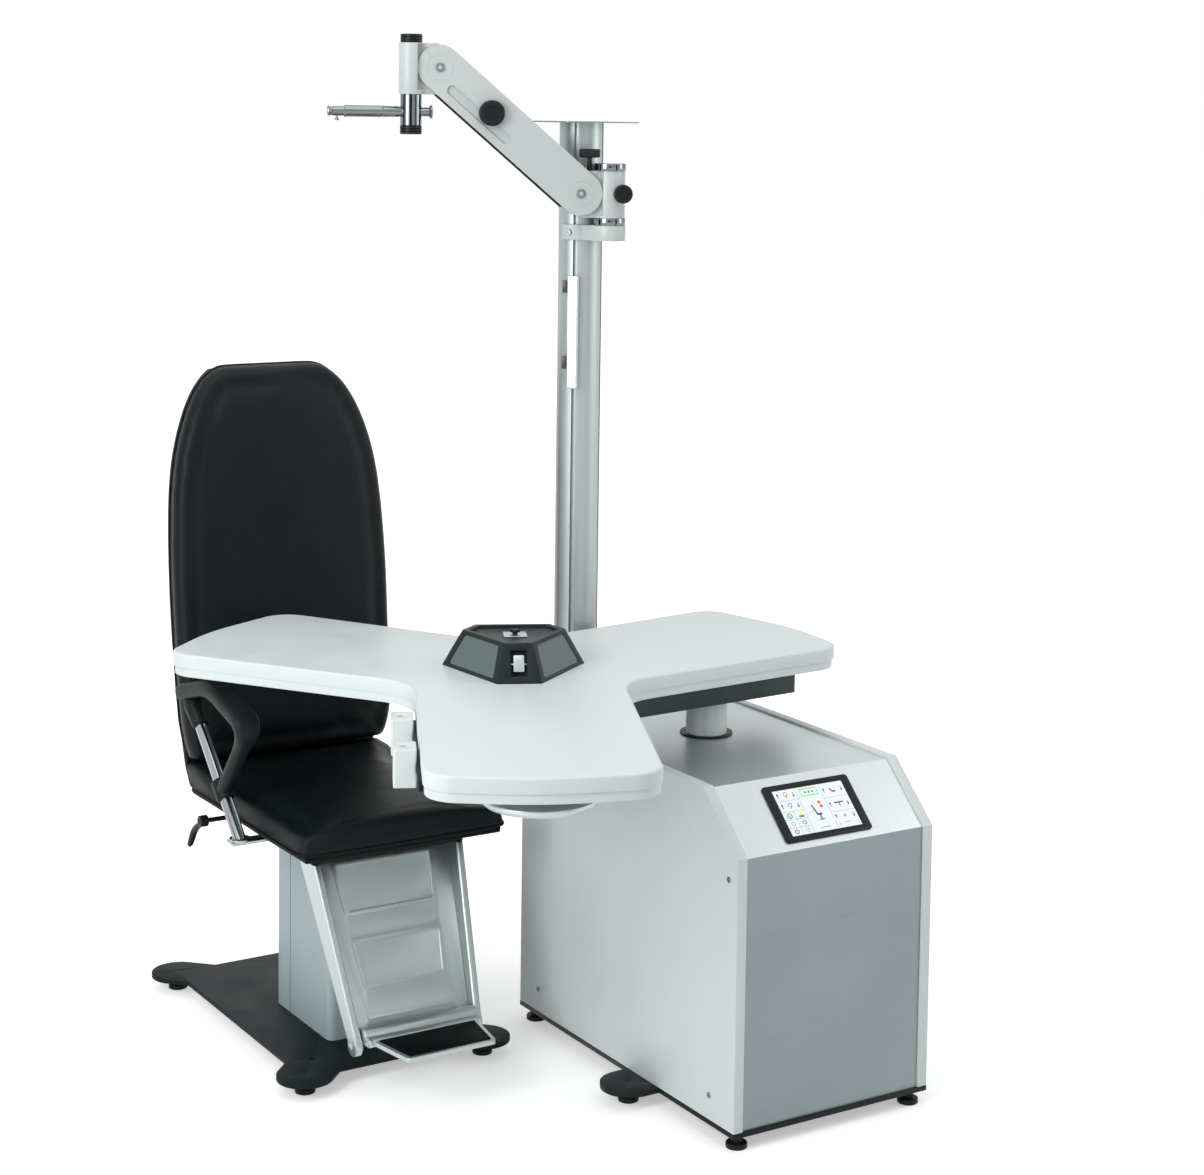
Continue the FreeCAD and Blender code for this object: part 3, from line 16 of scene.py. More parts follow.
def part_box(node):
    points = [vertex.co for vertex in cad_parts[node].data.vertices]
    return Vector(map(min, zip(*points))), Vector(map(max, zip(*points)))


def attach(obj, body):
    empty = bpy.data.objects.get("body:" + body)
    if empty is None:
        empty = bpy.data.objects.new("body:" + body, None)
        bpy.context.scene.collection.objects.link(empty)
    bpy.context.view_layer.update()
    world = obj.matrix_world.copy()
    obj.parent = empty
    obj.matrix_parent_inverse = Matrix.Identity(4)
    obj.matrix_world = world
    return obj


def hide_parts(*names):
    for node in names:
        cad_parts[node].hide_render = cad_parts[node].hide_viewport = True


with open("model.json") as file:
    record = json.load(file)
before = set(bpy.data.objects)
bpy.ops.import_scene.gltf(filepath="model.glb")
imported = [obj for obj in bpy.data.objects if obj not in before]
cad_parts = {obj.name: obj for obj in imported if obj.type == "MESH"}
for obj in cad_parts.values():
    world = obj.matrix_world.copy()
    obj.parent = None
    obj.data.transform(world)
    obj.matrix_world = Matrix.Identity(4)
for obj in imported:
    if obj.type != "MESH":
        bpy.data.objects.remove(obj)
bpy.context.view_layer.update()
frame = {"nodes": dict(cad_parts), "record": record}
record = frame["record"]
home = {node: body for body, nodes in record["behaviour"]["bodies"].items() for node in nodes}
slot_of = {part["node"]: part["material_slot"] for part in record["subparts"]}
MM = 0.001
X, Y, Z = Vector((1, 0, 0)), Vector((0, 1, 0)), Vector((0, 0, 1))

# %% [markdown]
# The photograph was taken from the front left, a little above the table. A camera is
# set by where it stands, where it looks and how long its lens is. The view is shifted
# down, because the photographer kept the uprights upright instead of tilting.

# %% Camera
camera_place = Vector((-2.5951, -3.6266, 1.9568))
camera_yaw, camera_pitch, camera_roll = -0.55876, 0.07827, 0.0133
camera_data = bpy.data.cameras.new("camera")
camera_data.lens, camera_data.sensor_width = 71.876, 36
camera_data.shift_y = -0.2343
camera = bpy.data.objects.new("camera", camera_data)
bpy.context.collection.objects.link(camera)
camera_back = Vector((math.sin(camera_yaw) * math.cos(camera_pitch),
                      -math.cos(camera_yaw) * math.cos(camera_pitch), math.sin(camera_pitch)))
level_right = (-camera_back).cross(Z).normalized()
level_up = level_right.cross(-camera_back)
camera_right = level_right * math.cos(camera_roll) + level_up * math.sin(camera_roll)
camera_up = level_up * math.cos(camera_roll) - level_right * math.sin(camera_roll)
axes = Matrix((camera_right, camera_up, camera_back)).transposed().to_4x4()
camera.matrix_world = Matrix.Translation(camera_place) @ axes
bpy.context.scene.camera = camera
bpy.context.scene.view_settings.view_transform = "Standard"
print("camera at", tuple(round(v, 2) for v in camera_place))

# %% [markdown]
# A material here is a Principled shader fed by small node groups. Each group is one
# effect, such as fine grain, brushed lines or smudges. It is built once and reused
# with other values, as a painter reuses a brush.

# %% Node group helpers
node_types = {"coord": "ShaderNodeTexCoord", "map": "ShaderNodeMapping", "noise": "ShaderNodeTexNoise",
              "cells": "ShaderNodeTexVoronoi", "range": "ShaderNodeMapRange", "math": "ShaderNodeMath",
              "bump": "ShaderNodeBump", "mix": "ShaderNodeMix", "wave": "ShaderNodeTexWave"}


def new_group(name, inputs, outputs):
    group = bpy.data.node_groups.new(name, "ShaderNodeTree")
    for label, value in inputs.items():
        socket = group.interface.new_socket(label, in_out="INPUT", socket_type="NodeSocketFloat")
        socket.default_value = value
    for label in outputs:
        group.interface.new_socket(label, in_out="OUTPUT", socket_type="NodeSocketFloat")
    return group, group.nodes.new("NodeGroupInput"), group.nodes.new("NodeGroupOutput")


def add(tree, kind, links=(), **settings):
    """Adds a node; links are pairs of input socket and source socket or value."""
    node = tree.nodes.new(node_types.get(kind, kind))
    for key, value in settings.items():
        setattr(node, key, value)
    for socket, source in links:
        if isinstance(source, bpy.types.NodeSocket):
            tree.links.new(source, node.inputs[socket])
        else:
            node.inputs[socket].default_value = source
    return node


print("node kinds:", len(node_types))

# %% [markdown]
# Moulded plastic, powder coat and laminate have fine pebbles, and leather has small cells
# with creases between them. Noise and cell textures on Object coordinates make both, so no
# picture is needed and the pattern keeps its real size on every piece.

# %% Effects: grain and hide
def grain_group():
    """Fine pebbles, as on powder coat, moulded plastic and table laminate."""
    group, given, out = new_group("fine_grain", {"Scale": 600.0, "Softness": 0.6}, ["Height"])
    coord = add(group, "coord")
    fine = add(group, "noise", [("Vector", coord.outputs["Object"]), ("Scale", given.outputs["Scale"]),
                                ("Detail", 2.0), ("Roughness", given.outputs["Softness"])])
    group.links.new(fine.outputs["Fac"], out.inputs["Height"])
    return group


def hide_group():
    """Leather: small cells with creases between them, over slow waves."""
    group, given, out = new_group("hide", {"Scale": 420.0, "Waves": 0.5}, ["Height", "Crease"])
    coord = add(group, "coord")
    warp = add(group, "noise", [("Vector", coord.outputs["Object"]), ("Scale", 90.0), ("Detail", 2.0)])
    shift = add(group, "ShaderNodeVectorMath", operation="MULTIPLY_ADD")
    group.links.new(warp.outputs["Color"], shift.inputs[0])
    shift.inputs[1].default_value = (0.004, 0.004, 0.004)
    group.links.new(coord.outputs["Object"], shift.inputs[2])
    cells = add(group, "cells", [("Vector", shift.outputs[0]), ("Scale", given.outputs["Scale"])],
                feature="DISTANCE_TO_EDGE")
    crease = add(group, "range", [("Value", cells.outputs["Distance"]), ("From Max", 0.16)])
    slow = add(group, "noise", [("Vector", coord.outputs["Object"]), ("Scale", 9.0), ("Detail", 3.0)])
    waves = add(group, "math", [(0, slow.outputs["Fac"]), (1, given.outputs["Waves"])],
                operation="MULTIPLY")
    height = add(group, "math", [(0, crease.outputs[0]), (1, waves.outputs[0])], operation="ADD")
    group.links.new(height.outputs[0], out.inputs["Height"])
    group.links.new(crease.outputs[0], out.inputs["Crease"])
    return group


print("grain and hide defined")

# %% [markdown]
# Brushed sheet shows fine lines in one direction, and every surface in use has slow uneven
# marks. The lines are noise that is squeezed across and drawn out along the brushing. The
# marks are noise with a few levels of detail, cut to a soft contrast.

# %% Effects: brushed lines and smudges
def brushed_group():
    """Fine lines: noise squeezed hard across one direction and drawn out along it."""
    group, given, out = new_group("brushed_lines", {"Across": 1400.0, "Along": 9.0}, ["Lines", "Bands"])
    coord = add(group, "coord")
    parts = add(group, "ShaderNodeSeparateXYZ", [("Vector", coord.outputs["Object"])])
    lines = add(group, "ShaderNodeCombineXYZ")
    for axis, label in (("X", "Along"), ("Y", "Along"), ("Z", "Across")):
        scaled = add(group, "math", [(0, parts.outputs[axis]), (1, given.outputs[label])],
                     operation="MULTIPLY")
        group.links.new(scaled.outputs[0], lines.inputs[axis])
    noise = add(group, "noise", [("Vector", lines.outputs[0]), ("Scale", 1.0), ("Detail", 4.0)])
    slow = add(group, "noise", [("Vector", coord.outputs["Object"]), ("Scale", 4.0), ("Detail", 1.0)])
    group.links.new(noise.outputs["Fac"], out.inputs["Lines"])
    group.links.new(slow.outputs["Fac"], out.inputs["Bands"])
    return group


def smudge_group():
    """Slow and fine clouds that stand for handling marks and dust."""
    group, given, out = new_group("smudges", {"Size": 14.0, "Contrast": 0.5}, ["Marks"])
    coord = add(group, "coord")
    clouds = add(group, "noise", [("Vector", coord.outputs["Object"]), ("Scale", given.outputs["Size"]),
                                  ("Detail", 6.0), ("Roughness", 0.65), ("Distortion", 0.4)])
    low = add(group, "math", [(0, 0.5), (1, given.outputs["Contrast"])], operation="SUBTRACT")
    high = add(group, "math", [(0, 0.5), (1, given.outputs["Contrast"])], operation="ADD")
    marks = add(group, "range", [("Value", clouds.outputs["Fac"]), ("From Min", low.outputs[0]),
                                 ("From Max", high.outputs[0])])
    group.links.new(marks.outputs[0], out.inputs["Marks"])
    return group


groups = {"grain": grain_group(), "hide": hide_group(), "brushed": brushed_group(),
          "smudges": smudge_group()}
print("effects:", sorted(groups))

# %% [markdown]
# Every finish of the real unit is one entry in a table: its colour, how rough and how
# metallic it is, and which effect gives its surface. Smudges change both the colour and
# the roughness a little, because no surface in a clinic is perfectly even.

# %% A material from a few values
def shade(color, factor):
    return tuple(min(1, c * factor) for c in color[:3]) + (1,)


def place(tree, name, **values):
    node = tree.nodes.new("ShaderNodeGroup")
    node.node_tree = groups[name]
    for key, value in values.items():
        node.inputs[key].default_value = value
    return node


def finish(name, color, rough, metal=0.0, grain=None, depth=0.0, uneven=0.04, spread=0.06,
           coat=0.0, lines=None, specular=0.5, glow=0.0, sheen=0.0):
    """Makes one material. grain is a pattern scale in 1/m and depth its height in metres."""
    material = bpy.data.materials.new(name)
    material.use_nodes = True
    tree = material.node_tree
    shader = tree.nodes["Principled BSDF"]
    shader.inputs["Metallic"].default_value = metal
    shader.inputs["Coat Weight"].default_value = coat
    shader.inputs["Coat Roughness"].default_value = 0.12
    shader.inputs["Specular IOR Level"].default_value = specular
    shader.inputs["Sheen Weight"].default_value = sheen
    marks = place(tree, "smudges", Size=11.0, Contrast=0.22)
    fade, pattern = marks.outputs["Marks"], None
    if lines:
        brushed = place(tree, "brushed", Across=lines[0], Along=lines[1])
        fade = add(tree, "math", [(0, brushed.outputs["Lines"]), (1, brushed.outputs["Bands"])],
                   operation="ADD")
        fade = add(tree, "range", [("Value", fade.outputs[0]), ("From Min", 0.7),
                                   ("From Max", 1.3)]).outputs[0]
        pattern = brushed.outputs["Lines"]
    elif grain == "hide":
        hide = place(tree, "hide", Scale=430.0, Waves=0.55)
        pattern = hide.outputs["Height"]
    elif grain:
        pattern = place(tree, "grain", Scale=float(grain)).outputs["Height"]
    tint = add(tree, "mix", [("Factor", fade)], data_type="RGBA")
    tint.inputs[6].default_value = shade(color, 1 - uneven)
    tint.inputs[7].default_value = shade(color, 1 + uneven)
    tree.links.new(tint.outputs[2], shader.inputs["Base Color"])
    gloss = add(tree, "range", [("Value", fade), ("To Min", max(0.02, rough - spread)),
                                ("To Max", min(1.0, rough + spread))])
    tree.links.new(gloss.outputs[0], shader.inputs["Roughness"])
    if pattern is not None and depth > 0:
        bump = add(tree, "bump", [("Height", pattern), ("Distance", depth), ("Strength", 0.9)])
        tree.links.new(bump.outputs["Normal"], shader.inputs["Normal"])
    if glow:
        tree.links.new(tint.outputs[2], shader.inputs["Emission Color"])
        shader.inputs["Emission Strength"].default_value = glow
    return material


print("materials start from finish()")

# %% [markdown]
# The table of finishes follows. Colours are darker than they look on the real unit,
# because the lamps and the white room lift them. A finish that stands in a brighter or
# darker place on the unit has a copy of its own with painted light or painted shade in
# its colour: painted light on the upper sheet and the beam, painted shade on the front
# sheet, the chrome of the rod and the pivot rings, the pole and the shelf.

# %% The table of finishes
finishes = {
    "white_board": finish("white laminate", (0.65, 0.715, 0.71), 0.40, grain=900, depth=0.00009,
                          uneven=0.015),
    "white_paint": finish("white paint", (0.74, 0.79, 0.785), 0.32, grain=1500, depth=0.00003,
                          uneven=0.02),
    "column_paint": finish("light grey powder coat", (0.33, 0.42, 0.44), 0.40, grain=1300,
                           depth=0.00006),
    "dark_paint": finish("dark powder coat", (0.008, 0.013, 0.014), 0.55, grain=1600, depth=0.00009,
                         uneven=0.12, specular=0.12),
    "black_paint": finish("black paint", (0.006, 0.009, 0.010), 0.42, grain=1500, depth=0.00004,
                          uneven=0.15, specular=0.2),
    "brushed_sheet": finish("brushed sheet", (0.50, 0.54, 0.545), 0.32, metal=1.0, lines=(1500.0, 7.0),
                            depth=0.00003, uneven=0.10, spread=0.09),
    "front_sheet": finish("brushed sheet in the shade", (0.235, 0.275, 0.285), 0.42, metal=1.0,
                          lines=(1500.0, 7.0), depth=0.00003, uneven=0.12, spread=0.09),
    "chrome_plate": finish("chrome", (0.38, 0.415, 0.42), 0.07, metal=1.0, uneven=0.02, spread=0.03),
    "anodised": finish("anodised aluminium", (0.50, 0.55, 0.55), 0.34, metal=0.85, lines=(40.0, 900.0),
                       depth=0.000012, uneven=0.03, spread=0.05),
    "leather_black": finish("black leather", (0.0035, 0.0066, 0.0074), 0.37, grain="hide", depth=0.00014,
                            uneven=0.2, spread=0.07, specular=0.15),
    "soft_black": finish("soft black", (0.006, 0.009, 0.010), 0.50, grain=1100, depth=0.00010,
                         uneven=0.2, specular=0.2),
    "black_plastic": finish("black plastic", (0.005, 0.008, 0.009), 0.40, grain=1400, depth=0.00005,
                            uneven=0.15, specular=0.22),
    "shell_plastic": finish("black shell", (0.003, 0.0048, 0.0054), 0.46, grain=1200, depth=0.00008,
                            uneven=0.15, specular=0.12),
    "dark_chrome": finish("chrome in the shade", (0.19, 0.215, 0.22), 0.08, metal=1.0, uneven=0.02,
                          spread=0.03),
    "upper_sheet": finish("brushed sheet in the light", (0.58, 0.625, 0.635), 0.36, metal=0.72, grain=1500,
                          depth=0.00001, uneven=0.025, spread=0.02),
    "screw_steel": finish("screw steel", (0.22, 0.24, 0.245), 0.22, metal=1.0, uneven=0.05),
    "hub_plastic": finish("dark grey plastic", (0.011, 0.017, 0.018), 0.42, grain=1500, depth=0.00007,
                          uneven=0.08, specular=0.18),
    "panel_plastic": finish("grey inset", (0.080, 0.118, 0.114), 0.38, grain=2000, depth=0.00004,
                            uneven=0.05),
    "screen_glass": finish("screen face", (0.80, 0.86, 0.90), 0.12, glow=0.22, uneven=0.01),
    "lamp_diffuser": finish("lamp diffuser", (1.0, 0.93, 0.80), 0.35, glow=0.9, uneven=0.01),
    "arm_paint": finish("white paint on the arm", (0.51, 0.55, 0.545), 0.36, grain=1500, depth=0.00003,
                        uneven=0.02),
    # painted light: a lighter copy of the dark powder coat, for the beam's side that faces the camera
    "lit_beam_paint": finish("grey powder coat", (0.052, 0.068, 0.072), 0.55, grain=1600, depth=0.00009,
                         uneven=0.12, specular=0.2),
    "mat_black": finish("ribbed black", (0.0015, 0.0022, 0.0026), 0.60, grain=900, depth=0.00010,
                        uneven=0.2, specular=0.06),
    # painted shade: a darker copy of the anodised aluminium, for the pole
    "shaded_pole_sheet": finish("anodised pole with painted shade", (0.40, 0.445, 0.445), 0.42, metal=0.75, lines=(40.0, 900.0),
                         uneven=0.02),
    # painted shade: a darker copy of the anodised aluminium, for the shelf, that dims the white it reflects
    # edge-on
    "shaded_shelf_sheet": finish("anodised shelf with painted shade", (0.24, 0.28, 0.28), 0.42, metal=0.85, lines=(40.0, 900.0),
                          uneven=0.03),
    "brown_plastic": finish("brown clip", (0.035, 0.017, 0.012), 0.35, grain=1400, depth=0.00005,
                            uneven=0.1),
}
# Parts with a finish of their own; the lit and shaded copies among them carry painted light and painted
# shade in their colour
own_finish = {"front_panel": "front_sheet", "arm_beam": "arm_paint", "arm_clamp": "arm_paint",
              "pivot_body": "arm_paint", "head_block": "arm_paint", "table_arm": "lit_beam_paint",
              "foot_mat": "mat_black", "pole": "shaded_pole_sheet", "shelf_plate": "shaded_shelf_sheet",
              "top_panel": "upper_sheet", "sloped_panel": "upper_sheet", "stand_screws": "screw_steel",
              "head_rod": "dark_chrome", "pivot_rings": "dark_chrome"}
look_of = {node: own_finish.get(node, slot) for node, slot in slot_of.items()}
for node, obj in frame["nodes"].items():
    obj.data.materials.clear()
    obj.data.materials.append(finishes[look_of[node]])
print("finishes:", len(finishes))

# %% [markdown]
# Each looks-only piece is a mesh made here, in metres, where the measured model has the
# part that it stands for. A few tools make most of them: a merged copy of a measured
# part with softened edges, a turned solid with flutes, and a bar swept along a path. The
# first tools turn a mesh in the making into a piece on the right body.

# %% Tools: from a mesh to a piece
def link_piece(name, mesh, slot_name, body, *nodes, look=None):
    """Links a mesh as a piece on a body, in place of measured nodes, in their finish or in look."""
    mesh.name = name
    obj = bpy.data.objects.new(name, mesh)
    bpy.context.collection.objects.link(obj)
    obj.data.materials.clear()
    look = look or (look_of[nodes[0]] if nodes else slot_name)
    obj.data.materials.append(finishes[look])
    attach(obj, body)
    if nodes:
        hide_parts(*nodes)
    return obj


def as_mesh(bm, name, crisp=35):
    """Turns mesh code into a mesh with smooth shading and crisp edges above an angle."""
    bmesh.ops.recalc_face_normals(bm, faces=bm.faces)
    mesh = bpy.data.meshes.new(name)
    bm.to_mesh(mesh)
    bm.free()
    for polygon in mesh.polygons:
        polygon.use_smooth = True
    mesh.set_sharp_from_angle(angle=math.radians(crisp))
    return mesh


def join(bm, part):
    """Adds one mesh in the making to another and frees it."""
    passing = bpy.data.meshes.new("passing")
    part.to_mesh(passing)
    part.free()
    bm.from_mesh(passing)
    bpy.data.meshes.remove(passing)


def merged(node):
    """A merged copy of a measured part's mesh, to build on."""
    bm = bmesh.new()
    bm.from_mesh(frame["nodes"][node].data)
    bmesh.ops.remove_doubles(bm, verts=bm.verts, dist=0.01 * MM)
    return bm


def stand_in(node, ending, bm, crisp=35):
    """Stands a mesh in the making in place of one measured part."""
    return link_piece(node + "_" + ending, as_mesh(bm, node, crisp), slot_of[node], home[node], node)


print("pieces can be linked")

# %% [markdown]
# A measured part has edges without any rounding, and these look unreal. A copy is merged,
# its flat faces are joined, and every sharp edge gets a small bevel. A Boolean cuts one
# mesh out of another where a bevel isn't enough.

# %% Tools: softened edges and cuts
flat_turn = 0.6


def soften(bm, width, over=28, segments=2):
    """Bevels every edge that turns by more than an angle, after flat faces are joined."""
    bmesh.ops.dissolve_limit(bm, angle_limit=math.radians(flat_turn), verts=bm.verts, edges=bm.edges)
    edges = [edge for edge in bm.edges
             if len(edge.link_faces) == 2 and edge.calc_face_angle(0) > math.radians(over)]
    bmesh.ops.bevel(bm, geom=edges, offset=width, offset_type="OFFSET", affect="EDGES",
                    segments=segments, profile=0.5, clamp_overlap=True, material=-1)


def cut_away(bm, tool):
    """The first mesh in the making with the second one cut out of it."""
    pair = []
    for part in (bm, tool):
        obj = bpy.data.objects.new("passing", as_mesh(part, "passing"))
        bpy.context.collection.objects.link(obj)
        pair.append(obj)
    cut = pair[0].modifiers.new("cut", "BOOLEAN")
    cut.operation, cut.solver, cut.object = "DIFFERENCE", "EXACT", pair[1]
    result = bmesh.new()
    result.from_object(pair[0], bpy.context.evaluated_depsgraph_get())
    for obj in pair:
        bpy.data.objects.remove(obj)
    return result


def dress(node, width, over=28):
    """Stands a copy with softened edges in place of a measured part."""
    bm = merged(node)
    soften(bm, width, over)
    return stand_in(node, "dressed", bm)


print("edges can be softened")

# %% [markdown]
# Knobs, caps, screws and rods are turned on a lathe in real life. Here a profile of a few
# points is spun around its axis in the same way. Flutes are pressed in afterwards, by
# moving the points of the marked rows in and out around the axis.

# %% Tools: turned solids
def turned_solid(bm, profile, origin, axis, flutes=0, depth=0.0, steps=72):
    """Adds a turned solid; profile rows are distance along the axis, radius and fluted or not."""
    axis = axis.normalized()
    side = axis.orthogonal().normalized()
    other = axis.cross(side)
    solid = bmesh.new()
    spots = [solid.verts.new(axis * along + side * radius) for along, radius, _ in profile]
    line = [solid.edges.new(pair) for pair in zip(spots, spots[1:])]
    bmesh.ops.spin(solid, geom=spots + line, cent=(0, 0, 0), axis=axis, angle=2 * math.pi,
                   steps=steps, use_merge=True)
    bmesh.ops.remove_doubles(solid, verts=solid.verts, dist=0.001 * MM)
    fluted_rows = [(along, radius) for along, radius, fluted in profile if fluted]
    for vert in solid.verts:
        along = vert.co.dot(axis)
        spot = vert.co - axis * along
        near = [row for row in fluted_rows
                if abs(row[0] - along) < 0.01 * MM and abs(row[1] - spot.length) < 0.01 * MM]
        if near:
            turn = math.atan2(spot.dot(other), spot.dot(side))
            vert.co -= spot.normalized() * (depth * (0.5 - 0.5 * math.cos(turn * flutes)))
    bmesh.ops.holes_fill(solid, edges=[edge for edge in solid.edges if edge.is_boundary])
    bmesh.ops.translate(solid, verts=solid.verts, vec=origin)
    join(bm, solid)


def in_mm(rows):
    """Profile rows in metres from rows in millimetres; a third value marks a fluted row."""
    return [(row[0] * MM, row[1] * MM, len(row) > 2) for row in rows]


print("profiles can be turned")

# %% [markdown]
# An armrest and a lever are bars that bend. The path is straight runs joined by arcs, and
# a ring with soft corners is bridged from station to station along it, as a smith draws
# out a bar.

# %% Tools: bars along a path
def rounded_path(points, bends, step):
    """Points along straight runs joined by arcs of the given radii."""
    path = [points[0]]
    for before, here, after, bend in zip(points, points[1:], points[2:], bends):
        a, b = (before - here).normalized(), (after - here).normalized()
        half = a.angle(b) / 2
        reach = bend / math.tan(half)
        centre = here + (a + b).normalized() * (bend / math.sin(half))
        start, end = here + a * reach - centre, here + b * reach - centre
        turn = start.angle(end)
        count = max(2, int(bend * turn / step))
        for i in range(count + 1):
            share = i / count
            path.append(centre + (start * math.sin((1 - share) * turn)
                                  + end * math.sin(share * turn)) / math.sin(turn))
    path.append(points[-1])
    even = [path[0]]
    for here, after in zip(path, path[1:]):
        count = max(1, int((after - here).length / step))
        even += [here.lerp(after, (i + 1) / count) for i in range(count)]
    return even


def swept_bar(bm, path, across, section, steps=28):
    """Adds a bar along a path; section(share) gives half width, half thickness and squareness."""
    bar, lengths, last = bmesh.new(), [0.0], None
    for here, after in zip(path, path[1:]):
        lengths.append(lengths[-1] + (after - here).length)
    for i, here in enumerate(path):
        ahead = (path[min(i + 1, len(path) - 1)] - path[max(i - 1, 0)]).normalized()
        lift = ahead.cross(across).normalized()
        half_width, half_thick, power = section(lengths[i] / lengths[-1])
        ring = bmesh.ops.create_circle(bar, segments=steps, radius=1)["verts"]
        for vert in ring:
            c, s = vert.co.x, vert.co.y
            x = math.copysign(abs(c) ** (2 / power), c) * half_width
            y = math.copysign(abs(s) ** (2 / power), s) * half_thick
            vert.co = here + across * x + lift * y
        loop = list({edge for vert in ring for edge in vert.link_edges})
        if last:
            bmesh.ops.bridge_loops(bar, edges=last + loop)
        last = loop
    bmesh.ops.holes_fill(bar, edges=[edge for edge in bar.edges if edge.is_boundary])
    join(bm, bar)


print("bars can be swept")

# %% [markdown]
# Places and sizes come from the measured parts, so that a piece fits where its part is.
# These two read them from the model.

# %% Tools: measuring the model
def span(node, origin, axis):
    """How far a measured part reaches along an axis from a point."""
    reach = [(vertex.co - origin).dot(axis) for vertex in frame["nodes"][node].data.vertices]
    return min(reach), max(reach)


def box_of(node):
    low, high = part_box(node)
    return Vector(low), Vector(high)


print("table top reaches from", *box_of("table_top"))

# %% [markdown]
# The cushions are soft. Each starts as a merged copy of its measured solid, remeshed into
# even small faces and shrunk a little. A short cloth simulation with air pressure inside
# swells it back against a cap, with its underside held to the shell. The side rolls and
# the welts are shaped afterwards, because the remesh would wipe them out.

# %% Cushion tools: an even copy that swells
cloth_frames = 20


def even_copy(node, voxel, rounds):
    """An even, smoothed remesh of a measured solid."""
    bm = merged(node)
    mesh = bpy.data.meshes.new(node)
    bm.to_mesh(mesh)
    bm.free()
    obj = bpy.data.objects.new(node, mesh)
    bpy.context.collection.objects.link(obj)
    remesh = obj.modifiers.new("remesh", "REMESH")
    remesh.mode, remesh.voxel_size = "VOXEL", voxel
    solid = bpy.data.meshes.new_from_object(obj.evaluated_get(bpy.context.evaluated_depsgraph_get()))
    bpy.data.objects.remove(obj)
    bm = bmesh.new()
    bm.from_mesh(solid)
    for _ in range(rounds):
        bmesh.ops.smooth_vert(bm, verts=bm.verts, factor=0.5, use_axis_x=True, use_axis_y=True,
                              use_axis_z=True)
    return bm


def swell(obj, held, pressure, cap):
    """Cloth under pressure for a few frames; held is a list of vertex numbers that stay."""
    scene = bpy.context.scene
    before = [vertex.co.copy() for vertex in obj.data.vertices]
    pinned = obj.vertex_groups.new(name="held")
    pinned.add(held, 1.0, "REPLACE")
    cloth = obj.modifiers.new("cloth", "CLOTH")
    cloth.settings.quality = 4
    cloth.settings.vertex_group_mass = pinned.name
    cloth.settings.use_pressure = True
    cloth.settings.uniform_pressure_force = pressure
    cloth.settings.effector_weights.gravity = 0
    cloth.point_cache.frame_start, cloth.point_cache.frame_end = 1, cloth_frames
    for number in range(1, cloth_frames + 1):
        scene.frame_set(number)
    swollen = obj.evaluated_get(bpy.context.evaluated_depsgraph_get())
    after = [vertex.co.copy() for vertex in swollen.data.vertices]
    obj.modifiers.remove(cloth)
    obj.vertex_groups.remove(pinned)
    for vertex, start, end in zip(obj.data.vertices, before, after):
        move = end - start
        vertex.co = start + move * min(1, cap / max(move.length, 1e-9))
    scene.frame_set(1)


print("cushions can swell")

# %% [markdown]
# A sewn welt runs around the side of each cushion, near its shell. A plane cuts the
# cushion, the cut gives a closed line, and a thin round curve follows that line. The side
# roll needs to know how far a point lies from the rim.

# %% Cushion tools: rim and welt
def edge_distance(point, rim):
    """How far a flat point lies inside a closed rim of flat points."""
    nearest = 1.0
    for a, b in zip(rim, rim[1:] + rim[:1]):
        run = b - a
        share = max(0, min(1, (point - a).dot(run) / run.length_squared))
        nearest = min(nearest, (a + run * share - point).length)
    return nearest


def welt(target, origin, normal, radius, push):
    """A thin closed tube where a plane cuts the target, pushed out by a little."""
    cut = target.copy()
    found = bmesh.ops.bisect_plane(cut, geom=cut.verts[:] + cut.edges[:] + cut.faces[:],
                                   plane_co=origin, plane_no=normal)["geom_cut"]
    edges = [item for item in found if isinstance(item, bmesh.types.BMEdge)]
    neighbours = {}
    for edge in edges:
        for vert in edge.verts:
            neighbours.setdefault(vert, []).append(edge.other_vert(vert))
    start = min(neighbours, key=lambda vert: (round(vert.co.x, 5), round(vert.co.y, 5)))
    loop, last = [start], None
    while True:
        ahead = [vert for vert in neighbours[loop[-1]] if vert is not last]
        last = loop[-1]
        if not ahead or ahead[0] is start:
            break
        loop.append(ahead[0])
    spots = [vert.co.copy() for vert in loop]
    cut.free()
    count = len(spots)
    for _ in range(4):
        spots = [(spots[i - 1] + spots[i] * 2 + spots[(i + 1) % count]) / 4 for i in range(count)]
    spots = spots[::2]
    count = len(spots)
    data = bpy.data.curves.new("welt", "CURVE")
    data.dimensions, data.bevel_depth, data.bevel_resolution = "3D", radius, 2
    spline = data.splines.new("POLY")
    spline.points.add(count - 1)
    spline.use_cyclic_u = True
    for i, spot in enumerate(spots):
        ahead = (spots[(i + 1) % count] - spots[i - 1]).normalized()
        spline.points[i].co = (spot + ahead.cross(normal).normalized() * push).to_4d()
    line = bpy.data.objects.new("welt", data)
    mesh = bpy.data.meshes.new_from_object(line)
    bpy.data.objects.remove(line)
    for polygon in mesh.polygons:
        polygon.use_smooth = True
    return mesh


print("cushion tools ready")

# %% [markdown]
# The backrest and the seat are made by one function. It shrinks the even copy, lets it
# swell, and then shapes the side roll and the groove inside it along the rim.

# %% Backrest and seat before their welts
cushion_voxel, shrink = 7 * MM, 2.5 * MM
air_pressure, swell_cap, held_depth = 4.0, 5 * MM, 6 * MM


